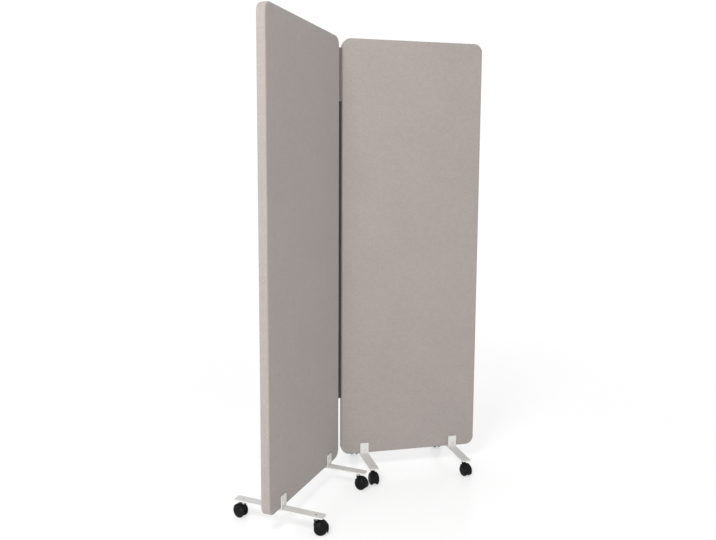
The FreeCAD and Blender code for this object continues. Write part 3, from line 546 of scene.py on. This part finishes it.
def cover(side, face):
    """Cloth over half a panel.

    Rings follow the rounded outline inwards: from the seam at mid thickness, out of its groove,
    along the edge, round the rim and over the face to an inset of one corner radius, where a plain
    grid goes on. A point is the outline's inner point plus its normal times what is left of the
    corner radius.
    """
    way = -1 if face == "front" else 1
    width_steps, height_steps, corner_steps = 88, 276, 14
    point_gap = 6.0
    xs = np.linspace(-HALF_WIDTH + CORNER, HALF_WIDTH - CORNER, width_steps + 1)
    zs = np.linspace(-HALF_HEIGHT + CORNER, HALF_HEIGHT - CORNER, height_steps + 1)
    inner, normal = [], []
    runs = (
        (np.column_stack([xs, np.full_like(xs, zs[0])]), -90),
        (np.column_stack([np.full_like(zs, xs[-1]), zs]), 0),
        (np.column_stack([xs[::-1], np.full_like(xs, zs[-1])]), 90),
        (np.column_stack([np.full_like(zs, xs[0]), zs[::-1]]), 180),
    )
    for run, facing in runs:
        outwards = math.radians(facing)
        inner.append(run)
        normal.append(np.tile([math.cos(outwards), math.sin(outwards)], (len(run), 1)))
        arc = np.radians(facing + np.linspace(0, 90, corner_steps + 1)[1:-1])
        inner.append(np.tile(run[-1], (corner_steps - 1, 1)))
        normal.append(np.column_stack([np.cos(arc), np.sin(arc)]))
    inner, normal = np.vstack(inner), np.vstack(normal)

    flat_run = HALF_THICKNESS - FACE_ROUND
    groove = [(0.8, 0.0), (0.62, 0.25), (0.35, 0.7), (0.14, 1.4), (0.0, 2.6), (-0.1, 4.5), (-0.08, 7.5),
              (0.0, flat_run)]
    rim = [(FACE_ROUND * (1 - math.cos(a)), flat_run + FACE_ROUND * math.sin(a))
           for a in np.radians((15, 30, 45, 60, 75, 90))]
    face_run = [(d, HALF_THICKNESS) for d in (8, 11, 15, 20, 27, CORNER)]
    profile = np.array(groove + rim + face_run)
    length = np.concatenate([[0], np.cumsum(np.hypot(*np.diff(profile, axis=0).T))])
    length = length[-1] - length

    inset, depth = profile[:, 0][:, None], profile[:, 1][:, None]
    feet = list(stations(side).values())
    x = inner[None, :, 0] + normal[None, :, 0] * (CORNER - inset)
    z = inner[None, :, 1] + normal[None, :, 1] * (CORNER - inset)
    on_face = smooth((depth - flat_run) / FACE_ROUND)
    lift = cover_height(x, z, feet) * on_face
    around = np.arange(len(inner)) * point_gap
    pucker = 0.16 * np.sin(around / 7.3) * np.sin(around / 19.1 + 1.0)
    at_seam = np.exp(-depth / 4.0) * (depth > 0.1)
    x -= normal[None, :, 0] * pucker[None, :] * at_seam
    z -= normal[None, :, 1] * pucker[None, :] * at_seam
    ring = np.stack([x, way * (depth + lift), z + PANEL_FOOT + HALF_HEIGHT], -1)
    flat = inner[None] + normal[None] * length[:, None, None]
    patches = [surface(ring, ring=True, uv=flat)]
    gx, gz = np.meshgrid(xs, zs)
    crown = way * (HALF_THICKNESS + cover_height(gx, gz, feet))
    middle = np.stack([gx, crown, gz + PANEL_FOOT + HALF_HEIGHT], -1)
    patches.append(surface(middle, uv=np.stack([gx, gz], -1)))
    patches = [outward(patch, toward=(0, way, 0)) for patch in patches]
    made = piece(f"{side}_{face}_cloth", patches, [FINISH["cover_fabric"]], f"{side}_panel",
                 [f"{side}_{face}_cover"], PANEL[side], sharp=60)
    return made


# ---- zipper --------------------------------------------------------------------------------------


def bowed_strip(across, thick, bow, level, way=1, back=20.0):
    """Thin closed section carried up the web, out along its front and back along its rear.

    across holds the section's places, thick its half thicknesses there, and bow how far each place
    shifts at each level. The rear's flat coordinates start at back.
    """
    x = np.concatenate([across, across[::-1]])[None, :] * way * np.ones_like(level)
    y = np.concatenate([bow - thick, (bow + thick)[:, ::-1]], 1)
    grid = np.stack([x, y, level * np.ones_like(x)], -1)
    run = np.concatenate([across, across[::-1] + back])[None, :] * np.ones_like(level)
    flat = np.stack([run, level * np.ones_like(run)], -1)
    ends = [np.tile(grid[k].mean(0), (1, grid.shape[1], 1)) for k in (0, -1)]
    grid = np.concatenate([ends[0], grid, ends[1]])
    flat = np.concatenate([flat[:1], flat, flat[-1:]])
    return outward(surface(grid, ring=True, uv=flat))


def zip_tape(side):
    """Half of the tape: a thin strip from the teeth to the seam.

    Between its held edges it bows by a wave whose length and height drift with the level.
    """
    way = 1 if side == "right" else -1
    across = np.array([2.6, 4.2, 6.0, 8.0, 10.0, 12.0, 13.6, 15.0, 16.0])
    thick = np.array([0.42, 0.36, 0.30, 0.30, 0.30, 0.30, 0.34, 0.5, 0.85])
    level = np.linspace(ZIP_FOOT, ZIP_HEAD, 248)[:, None]
    free = np.sin(np.clip((across - 4.2) / 10.6, 0, 1) * math.pi)[None, :]
    bow = free * (0.32 * np.sin(level / 13.0 + 2 * np.sin(level / 71.0)) + 0.22 * np.sin(level / 31.0 + way))
    patch = bowed_strip(across, thick, bow, level, way)
    made = piece(f"zipper_tape_{side}", [patch], [FINISH["zip_tape"]], "zip_web",
                 [f"zip_tape_{side}"], WEB, sharp=50)
    return made


def head_flap():
    """Cloth strip over the gap above the zipper, from seam to seam, that bows by a slow wave."""
    across = np.array([-16.0, -15.0, -13.0, -9.0, -4.5, 0.0, 4.5, 9.0, 13.0, 15.0, 16.0])
    thick = np.array([0.85, 0.5, 0.34, 0.3, 0.3, 0.3, 0.3, 0.3, 0.34, 0.5, 0.85])
    foot = ZIP_HEAD + FLAP_GAP
    level = np.linspace(foot, foot + FLAP_HEIGHT, 53)[:, None]
    free = np.cos(np.clip(across / 15.0, -1, 1) * math.pi / 2)[None, :]
    bow = free * (0.35 * np.sin(level / 29.0) + 0.2 * np.sin(level / 11.0 + across[None, :] / 9.0))
    patch = bowed_strip(across, thick, bow, level, back=40.0)
    made = piece("zipper_head_flap", [patch], [FINISH["cover_fabric"]], "zip_web",
                 ["zip_head_flap"], WEB, sharp=50)
    return made


def zip_teeth(side):
    """Row of moulded teeth.

    One tooth is a plan outline with a waist behind its head, with softened front and rear faces. The
    row repeats it at the pitch, and the two rows are half a pitch apart.
    """
    way = 1 if side == "right" else -1
    plan = np.array([
        (4.5, -0.62), (4.5, 0.62), (2.3, 0.62), (1.6, 0.45), (1.1, 0.86), (0.5, 0.8),
        (0.25, 0.42), (0.25, -0.42), (0.5, -0.8), (1.1, -0.86), (1.6, -0.45), (2.3, -0.62),
    ])
    centre = plan.mean(0)
    rows = [centre + (plan - centre) * s for s in (0.0, 0.84, 1.0, 1.0, 0.84, 0.0)]
    depth = (-1.2, -1.2, -0.95, 0.95, 1.2, 1.2)
    tooth = np.stack([np.column_stack([way * r[:, 0], np.full(len(r), d), r[:, 1]])
                      for r, d in zip(rows, depth)])
    patch = outward(surface(tooth, ring=True))
    first = ZIP_FOOT + BOX_HEIGHT + 1.4 + (0 if way > 0 else TOOTH_PITCH / 2)
    levels = np.arange(first, ZIP_HEAD - 2.6, TOOTH_PITCH)
    points = (patch[0][None] + np.stack([0 * levels, 0 * levels, levels], -1)[:, None]).reshape(-1, 3)
    faces = (patch[1][None] + (np.arange(len(levels)) * len(patch[0]))[:, None, None]).reshape(-1, 4)
    row = [points, faces, None, np.zeros(len(faces))]
    return piece(f"zipper_teeth_{side}", [row], [FINISH["zip_teeth"]], "zip_web",
                 [f"zip_teeth_{side}"], WEB)


def retainer_box():
    """Box at the foot of the teeth, and two top stops above the slider.

    The box is a plate with cut corners, rounded rims and a raised oval on both faces.
    """
    half, cut_across, cut_up = 3.0, 0.6, 0.4
    foot, head = ZIP_FOOT, ZIP_FOOT + BOX_HEIGHT
    box = [(half, foot + cut_up), (half, head - cut_up), (half - cut_across, head),
           (-half + cut_across, head), (-half, head - cut_up), (-half, foot + cut_up),
           (-half + cut_across, foot), (half - cut_across, foot)]
    patches = [slab(box, -2.1, 2.1, 0.5), slab(stadium(1.5, foot + 1.6, head - 1.6, 7), -2.35, 2.35, 0.3)]
    low, high = SLIDER_HEAD + 0.4, ZIP_HEAD - 0.2
    for way in (-1, 1):
        stop = mirrored([(3.6, low), (3.6, high), (0.7, high), (0.7, low)], way)
        patches.append(slab(stop, -1.3, 1.3, 0.25))
    return piece("zipper_box_and_stops", patches, [FINISH["zip_metal"]], "zip_web",
                 ["zip_retainer_box"], WEB)


def zip_slider():
    """Slider: two shield-shaped plates, side flanges that leave a slot for the tape, a thin post
    between the plates, and two ears behind that hold the pull's pin.

    A shield's half width eases from 3.9 mm at the tail to 5 mm at the shoulders.
    """
    ear_half, post_half, post_height = 1.6, 0.14, 3.8
    rise = np.linspace(0, 1, 9)
    half = 3.9 + 1.1 * smooth((rise - 0.25) / 0.6) - 0.9 * smooth((rise - 0.86) / 0.14)
    right = np.column_stack([half, SLIDER_FOOT + SLIDER_HEIGHT * rise])
    shield = np.vstack([[(2.9, SLIDER_FOOT)], right, [(2.0, SLIDER_HEAD), (0.0, SLIDER_HEAD - 0.8)]])
    left = shield[:-1][::-1] * [-1, 1]
    shield = np.vstack([shield, left])
    patches = [slab(shield, -2.8, -1.5, 0.45), slab(shield, 1.5, 2.8, 0.45)]
    for way in (-1, 1):
        flange = mirrored([(4.0, SLIDER_FOOT + 2.4), (4.7, SLIDER_FOOT + 5.4), (4.7, SLIDER_FOOT + 11.6),
                           (3.8, SLIDER_FOOT + 11.6), (3.55, SLIDER_FOOT + 2.4)], way)
        patches += [slab(flange, -1.8, -0.75, 0.15), slab(flange, 0.75, 1.8, 0.15)]
        low, high = PIN_LEVEL - ear_half, PIN_LEVEL + ear_half
        ear = mirrored([(4.0, low), (4.0, high), (2.6, high), (2.6, low)], way)
        patches.append(slab(ear, 2.6, 6.4, 0.45))
    foot = SLIDER_HEAD - post_height
    post = [(post_half, foot), (post_half, SLIDER_HEAD), (-post_half, SLIDER_HEAD), (-post_half, foot)]
    patches.append(slab(post, -1.6, 1.6, 0.05))
    pin = turned_profile([(0, -3.2), (0.8, -3.2), (0.8, 3.2), (0, 3.2)], 14)
    patches.append(moved(pin, (0, PIN_OFFSET, PIN_LEVEL), Z_TO_X))
    return piece("zipper_slider", patches, [FINISH["zip_metal"]], "zip_slider",
                 ["zip_slider"], WEB)


def zip_pull():
    """Pull tab: an eye on the pin, a short shank, and a grip with an oval window and rounded rims."""
    tube = [(0.88, -2.2), (1.45, -2.2), (1.6, -2.0), (1.6, 2.0), (1.45, 2.2), (0.88, 2.2)]
    shank = [(1.5, -10.4), (2.1, -8.0), (2.1, -1.5), (-2.1, -1.5), (-2.1, -8.0), (-1.5, -10.4)]
    grip, window = stadium(3.4, -30, -9.4, 14), stadium(1.5, -20.5, -12.2, 14)
    patches = [moved(turned_profile(tube, 18, loop=True), turn=Z_TO_X), slab(shank, -0.65, 0.65, 0.25),
               frame_plate(grip, window, -0.8, 0.8, 0.3)]
    patches = [moved(patch, (0, PIN_OFFSET, PIN_LEVEL)) for patch in patches]
    return piece("zipper_pull", patches, [FINISH["zip_metal"]], "zip_pull", ["zip_pull"], WEB)


# ---- feet ----------------------------------------------------------------------------------------


def weld_beads(side):
    """Fillet welds along both long sides of each saddle's foot.

    A weld is a rod on the edge whose radius ripples with the torch's steps and falls to nothing at
    both ends.
    """
    bead_radius, bead_half = 1.75, 16.5
    patches = []
    run = np.linspace(-1, 1, 60)[:, None]
    angle = np.arange(10)[None, :] * (2 * math.pi / 10)
    ripple = 1 + 0.10 * np.abs(np.sin(run * 16 / 0.7))
    radius = bead_radius * np.sqrt(np.clip(1 - run ** 8, 0, 1)) * ripple
    for foot_x in stations(side).values():
        for way in (-1, 1):
            x = foot_x + bead_half * run + 0 * angle
            y = way * (FLANGE_FACE - 1.6) + radius * np.cos(angle)
            z = BAR_TOP + 0.3 + 0.8 * radius * np.sin(angle)
            patches.append(outward(surface(np.stack([x, y, z], -1), ring=True)))
    return piece(f"{side}_weld_beads", patches, [FINISH["powder_coat"]], f"{side}_panel",
                 (), PANEL[side])


def clamp_screws(side):
    """Button-head screws: the profile is carried round the shank, and the socket's rows follow a hexagon."""
    head, apothem = -FLANGE_FACE, SOCKET_APOTHEM

    def socket(r, angle, level):
        """Radius of a hexagon where the row is the socket's, and the row's own elsewhere."""
        return np.where((r > 1.5) & (r < 2.2) & (level > head - 3), hexagon(apothem, angle), r)

    dome = [(6.0 * math.cos(a), head - 1.0 - 1.75 * math.sin(a)) for a in np.radians((0, 12, 25, 40, 55, 67))]
    profile = [(0, head - 1.0), (apothem, head - 1.0), (apothem, head - 2.72), (2.45, head - 2.76),
               *dome[::-1], (6.0, head), (3.0, head), (3.0, FLANGE_FACE + 2.4), (0, FLANGE_FACE + 2.4)]
    patches = []
    for foot_x in stations(side).values():
        screw = turned_profile(profile, 36, radius=socket)
        patches.append(moved(screw, (foot_x, 0, CLAMP_LEVEL), Z_TO_Y))
    return piece(f"{side}_clamp_screw_set", patches, [FINISH["powder_coat"]], f"{side}_panel",
                 [f"{side}_clamp_screws"], PANEL[side])


def clamp_nuts(side):
    """Low domed nuts on the rear flange, with a hexagon socket."""
    face, apothem = FLANGE_FACE, SOCKET_APOTHEM

    def socket(r, angle, level):
        """Radius of a hexagon where the row is the socket's, and the row's own elsewhere."""
        return np.where((r > 1.5) & (r < 2.2) & (level > face + 3.2), hexagon(apothem, angle), r)

    dome = [(6.0 * math.cos(a), face + 2.7 + 1.8 * math.sin(a)) for a in np.radians((0, 12, 25, 40, 55, 67))]
    profile = [(0, face + 3.3), (apothem, face + 3.3), (apothem, face + 4.44), (2.45, face + 4.48),
               *dome[::-1], (6.0, face), (3.05, face), (3.05, face + 3), (0, face + 3)]
    nut = turned_profile(profile, 36, radius=socket)
    patches = [moved(nut, (foot_x, 0, CLAMP_LEVEL), Z_TO_Y) for foot_x in stations(side).values()]
    return piece(f"{side}_clamp_nut_set", patches, [FINISH["powder_coat"]], f"{side}_panel",
                 [f"{side}_clamp_nuts"], PANEL[side])


def stem_spots(side):
    """Places of one panel's four stems, on the floor in the panel's frame."""
    return [(x, y, 0) for x in stations(side).values() for y in (-CASTER_REACH, CASTER_REACH)]


def caster_stems(side):
    """Threaded stems with a collar below and a hexagon socket in the upper end.

    The thread's radius is a triangle wave of the level less the pitch times the turn.
    """
    pitch, crest, thread_depth, row_radius, row_gap = 1.25, 3.98, 0.62, 3.9, 0.156
    collar_foot = NECK_TOP + 0.3
    low, high = collar_foot + 1.6, BAR_TOP - 0.8
    apothem, socket_foot = SOCKET_APOTHEM, BAR_TOP - 2.2

    def rows(r, angle, level):
        """Radius of the thread or the socket where the row is theirs, and the row's own elsewhere."""
        phase = (level / pitch - angle / (2 * math.pi)) % 1.0
        thread = crest - thread_depth * np.abs(2 * phase - 1)
        threaded = (np.abs(r - row_radius) < 0.01) & (level > low) & (level < high)
        socketed = np.abs(r - apothem) < 0.01
        return np.where(threaded, thread, np.where(socketed, hexagon(apothem, angle), r))

    thread_rows = [(row_radius, z) for z in np.arange(low + 0.15, high - 0.1, row_gap)]
    profile = [(0, 31), (3.5, 31), (crest, 31.5), (crest, collar_foot), (6.1, collar_foot),
               (6.5, collar_foot + 0.3), (6.5, collar_foot + 1.3), (6.1, low), (row_radius, low),
               *thread_rows, (row_radius, high), (3.4, BAR_TOP), (2.3, BAR_TOP), (apothem, BAR_TOP - 0.2),
               (apothem, socket_foot), (0, socket_foot)]
    stem = turned_profile(profile, 24, radius=rows)
    patches = [moved(stem, spot) for spot in stem_spots(side)]
    return piece(f"{side}_threaded_stems", patches, [FINISH["zinc_plate"]], f"{side}_panel",
                 [f"{side}_caster_stems"], PANEL[side])


def lock_nuts(side):
    """Hexagon nuts: the radius is the smaller of the hexagon's and the chamfer cone's."""
    low, high, bore, apothem, chamfer = BAR_FOOT - LOCK_NUT_HEIGHT, BAR_FOOT, 4.1, 6.5, 0.75

    def rows(r, angle, level):
        """The hexagon cuts every row that lies outside the bore's faces."""
        return np.where(r > 5.5, np.minimum(hexagon(apothem, angle), r), r)

    profile = [(bore, low), (5.4, low), (6.3, low), (7.6, low + chamfer), (7.6, high - chamfer),
               (6.3, high), (5.4, high), (bore, high)]
    nut = turned_profile(profile, 36, loop=True, radius=rows)
    patches = [moved(nut, spot) for spot in stem_spots(side)]
    return piece(f"{side}_lock_nut_set", patches, [FINISH["zinc_plate"]], f"{side}_panel",
                 [f"{side}_lock_nuts"], PANEL[side])


# ---- casters -------------------------------------------------------------------------------------


def caster_hood(name):
    """Hood, middle web with its ribs, boss, axle and neck.

    The hood is a crowned band with a rolled rim, carried round the axle from low at the trailing side,
    over the top, to high at the stem's side. The neck is turned about the stem.
    """
    steps = np.linspace(HOOD_BACK, HOOD_FRONT, 44)
    outside = [(-12.5, 25.7), (-12.4, 26.5), (-11.8, 26.95), (-10.9, HOOD_RADIUS), (-10.3, 26.7),
               (-9.7, 26.35), (-8.0, 26.5), (-4.5, 26.85), (0.0, HOOD_RADIUS)]
    outside += [(-y, r) for y, r in outside[-2::-1]]
    inside = [(12.5, 25.1), (8.0, 25.0), (0.0, 25.0), (-8.0, 25.0), (-12.5, 25.1)]
    web = [(-5.5, 3.0), (-5.5, 25.8), (5.5, 25.8), (5.5, 3.0)]
    rib = [(-5.9, 8.0), (-5.9, 9.4), (5.9, 9.4), (5.9, 8.0)]
    patches = [carried(section, steps) for section in (outside + inside, web, rib)]
    boss = [(3.0, -5.5), (6.6, -5.5), (7.0, -5.1), (7.0, 5.1), (6.6, 5.5), (3.0, 5.5)]
    axle = [(0, -AXLE_HALF), (2.6, -AXLE_HALF), (3.0, -AXLE_HALF + 0.4), (3.0, AXLE_HALF - 0.4),
            (2.6, AXLE_HALF), (0, AXLE_HALF)]
    for part in (turned_profile(boss, 28, loop=True), turned_profile(axle, 20, finish=1)):
        patches.append(moved(part, (AXLE_X, 0, AXLE_Z), Z_TO_Y))
    rim = NECK_TOP - 0.4
    neck = [(0, 28), (6.8, 28), (7.4, 28.6), (7.4, 46.6), (7.6, 47.6), (8.2, 48.6), (8.8, 49.3), (9.0, 50.0),
            (9.0, 51.9), (8.7, rim), (8.0, NECK_TOP), (5.4, NECK_TOP), (5.0, rim), (4.05, rim),
            (4.05, 30), (0, 30)]
    patches.append(turned_profile(neck, 36))
    return piece(f"{name}_hood", patches, [FINISH["hood_plastic"], FINISH["zinc_plate"]], f"{name}_caster",
                 [f"{name}_caster_hood"], caster_place(name))


def caster_wheel(name, tag):
    """Wheel turned about the axle.

    The profile (r, y) runs over the recessed inner face, the tread with its softened shoulders, and
    the domed cap with its two grooves and dished middle.
    """
    way = -1 if tag == "a" else 1
    tread_low, tread_side = 22.7, 14.6
    profile = [(0, 17.5), (3.05, 17.5), (3.05, 8.0), (6.4, 8.0), (7.0, 8.9), (20.0, 8.9), (20.6, 8.0),
               (tread_low, 8.0), (23.45, 8.15), (23.86, 8.6), (24.0, 9.2), (24.0, 13.3), (23.86, 13.9),
               (23.45, 14.35), (23.0, 14.5), (22.8, 14.7), (22.8, 15.2), (22.4, 15.65), (20.7, 17.3),
               (18.9, 18.2), (17.4, 18.65), (16.9, 18.35), (16.4, 18.35), (15.8, 18.9), (13.2, 19.25),
               (10.8, 19.48), (9.2, 19.5), (8.8, 19.1), (8.4, 18.45), (4.0, 18.35), (0, 18.3)]
    marks = [int(min(a[0], b[0]) >= tread_low and b[1] < tread_side) for a, b in zip(profile, profile[1:])]
    wheel = turned_profile([(r, way * h) for r, h in profile], 56, finish=marks)
    patch = moved(wheel, (AXLE_X, 0, AXLE_Z), Z_TO_Y)
    hand = "left" if way > 0 else "right"
    return piece(f"{name}_wheel_{hand}_shell", [patch], [FINISH["wheel_plastic"], FINISH["tread"]],
                 f"{name}_wheel_{tag}", [f"{name}_wheel_{tag}"], caster_place(name))


def brake_pedal(name):
    """Brake pedal: a band outside the hood from its barrel down to a lip that flares out, with grip ribs."""
    barrel_angle, lip_angle = 24, -34

    def swell(r, angle):
        """Radius with the lip's flare on both faces and the ribs on the outer one."""
        grown = np.degrees(angle)
        lip = 2.6 * smooth((-26 - grown) / 7.0)
        ribs = 0.45 * np.maximum(0, np.sin((grown + 6) / 3.2))
        ribs = ribs * smooth((-4 - grown) / 3) * smooth((grown + 27) / 3)
        return r + np.where(r > 28.5, lip + ribs, lip * 0.55)

    section = [(-7.5, 27.7), (-7.5, 29.2), (-7.1, 29.6), (-3.5, 29.7), (3.5, 29.7), (7.1, 29.6),
               (7.5, 29.2), (7.5, 27.7), (7.1, 27.5), (-7.1, 27.5)]
    patches = [carried(section, np.linspace(barrel_angle, lip_angle, 60), swell=swell)]
    barrel = turned_profile([(0, -7.5), (1.7, -7.5), (2.0, -7.2), (2.0, 7.2), (1.7, 7.5), (0, 7.5)], 20)
    a = math.radians(barrel_angle)
    spot = (AXLE_X + HOOD_RADIUS * math.cos(a), 0, AXLE_Z + HOOD_RADIUS * math.sin(a))
    patches.append(moved(barrel, spot, Z_TO_Y))
    return piece(f"{name}_pedal_lever", patches, [FINISH["hood_plastic"]], f"{name}_pedal",
                 [f"{name}_brake_pedal"], caster_place(name))


# ---- building ------------------------------------------------------------------------------------

for side in SIDES:
    for face in ("front", "rear"):
        cover(side, face)
    zip_tape(side)
    zip_teeth(side)
    weld_beads(side)
    clamp_screws(side)
    clamp_nuts(side)
    caster_stems(side)
    lock_nuts(side)
    for foot in FEET:
        for end in ENDS:
            name = f"{side}_{foot}_{end}"
            caster_hood(name)
            for tag in ("a", "b"):
                caster_wheel(name, tag)
            if f"{name}_brake" in JOINTS:
                brake_pedal(name)
head_flap()
retainer_box()
zip_slider()
zip_pull()


# ---- floor, light and camera ---------------------------------------------------------------------


def studio_floor():
    """Round pale floor: a grid of rings and spokes.

    It mixes a glossy diffuse paint with a white glow, about half and half up to 1.2 m from the
    origin, and glow alone from 4 m on, where it meets the backdrop's tone.
    """
    steps = 64
    angle = np.arange(steps) * (2 * math.pi / steps)
    radii = np.array([0.0, 0.8, 1.6, 2.4, 3.2, 4.5, 6.5, 10.0, 18.0, 40.0])[:, None] / MM
    grid = np.stack([radii * np.cos(angle), radii * np.sin(angle), 0 * radii + 0 * angle], -1)
    points, faces, _, _ = outward(surface(grid, ring=True), toward=(0, 0, 1))
    mesh = bpy.data.meshes.new("studio_floor")
    mesh.from_pydata((points * MM).tolist(), [], faces.tolist())
    floor = bpy.data.objects.new("studio_floor", mesh)
    bpy.context.scene.collection.objects.link(floor)
    paint = Finish("floor_paint", (0.93, 0.93, 0.93), 0.2, Specular_IOR_Level=0.5)
    glow = paint.node("Emission")
    glow.inputs["Color"].default_value = (1, 1, 1, 1)
    glow.inputs["Strength"].default_value = 1.02
    reach = paint.node("VectorMath", operation="LENGTH")
    paint.join(paint.coordinates(), reach.inputs[0])
    share = paint.span(reach.outputs["Value"], 1.2, 4.0, 0.55, 1.0)
    mix = paint.node("MixShader")
    paint.join(share, mix.inputs[0])
    paint.join(paint.shader.outputs[0], mix.inputs[1])
    paint.join(glow.outputs[0], mix.inputs[2])
    paint.join(mix.outputs[0], paint.tree.nodes["Material Output"].inputs["Surface"])
    mesh.materials.append(paint.material)


def backdrop(level, overhead):
    """White surround whose strength eases from level near the horizon to overhead above 50 degrees."""
    world = bpy.data.worlds.new("studio_backdrop")
    world.use_nodes = True
    nodes, links = world.node_tree.nodes, world.node_tree.links
    nodes["Background"].inputs["Color"].default_value = (1, 1, 1, 1)
    split, ease = nodes.new("ShaderNodeSeparateXYZ"), nodes.new("ShaderNodeMapRange")
    links.new(nodes.new("ShaderNodeTexCoord").outputs["Generated"], split.inputs[0])
    links.new(split.outputs[2], ease.inputs["Value"])
    for name, number in (("From Min", 0.35), ("From Max", 0.77), ("To Min", level), ("To Max", overhead)):
        ease.inputs[name].default_value = number
    links.new(ease.outputs[0], nodes["Background"].inputs["Strength"])
    bpy.context.scene.world = world


def soft_light(name, place, aim, width, height, power):
    """Rectangular area light that faces aim and is hidden from the camera."""
    lamp = bpy.data.lights.new(name, "AREA")
    lamp.shape = "RECTANGLE"
    lamp.size, lamp.size_y = width, height
    lamp.energy = power
    made = bpy.data.objects.new(name, lamp)
    bpy.context.scene.collection.objects.link(made)
    made.location = place
    line = np.array(aim, float) - np.array(place, float)
    made.rotation_euler = Vector(line).to_track_quat("-Z", "Y").to_euler()
    made.visible_camera = False


def studio_camera():
    """Camera turned 12.2 degrees to the right and 6.3 down, and shifted to frame the screen."""
    data = bpy.data.cameras.new("studio_camera")
    data.sensor_width = 36.0
    data.lens = 33.85
    data.shift_x, data.shift_y = 0.0438, -0.0119
    data.clip_end = 200
    made = bpy.data.objects.new("studio_camera", data)
    bpy.context.scene.collection.objects.link(made)
    pitch, roll, yaw = (math.radians(a) for a in (6.2660, 0.0103, 12.2453))
    forward = np.array([math.sin(yaw) * math.cos(pitch), math.cos(yaw) * math.cos(pitch), -math.sin(pitch)])
    level = np.array([math.cos(yaw), -math.sin(yaw), 0.0])
    upright = np.cross(level, forward)
    right = level * math.cos(roll) + upright * math.sin(roll)
    up = np.cross(right, forward)
    matrix = np.eye(4)
    matrix[:3, 0], matrix[:3, 1], matrix[:3, 2] = right, up, -forward
    matrix[:3, 3] = (-0.70670, -2.52892, 1.20633)
    made.matrix_world = Matrix(matrix.tolist())
    bpy.context.scene.camera = made


bpy.context.scene.view_settings.view_transform = "Standard"
studio_floor()
backdrop(1.03, 0.8)
soft_light("key_light", (-1.4, -1.9, 2.7), (0.0, 0.1, 1.2), 0.8, 0.8, 50)
soft_light("front_light", (-1.5, -2.2, 0.4), (0.0, 0.1, 0.7), 0.8, 0.8, 27)
studio_camera()
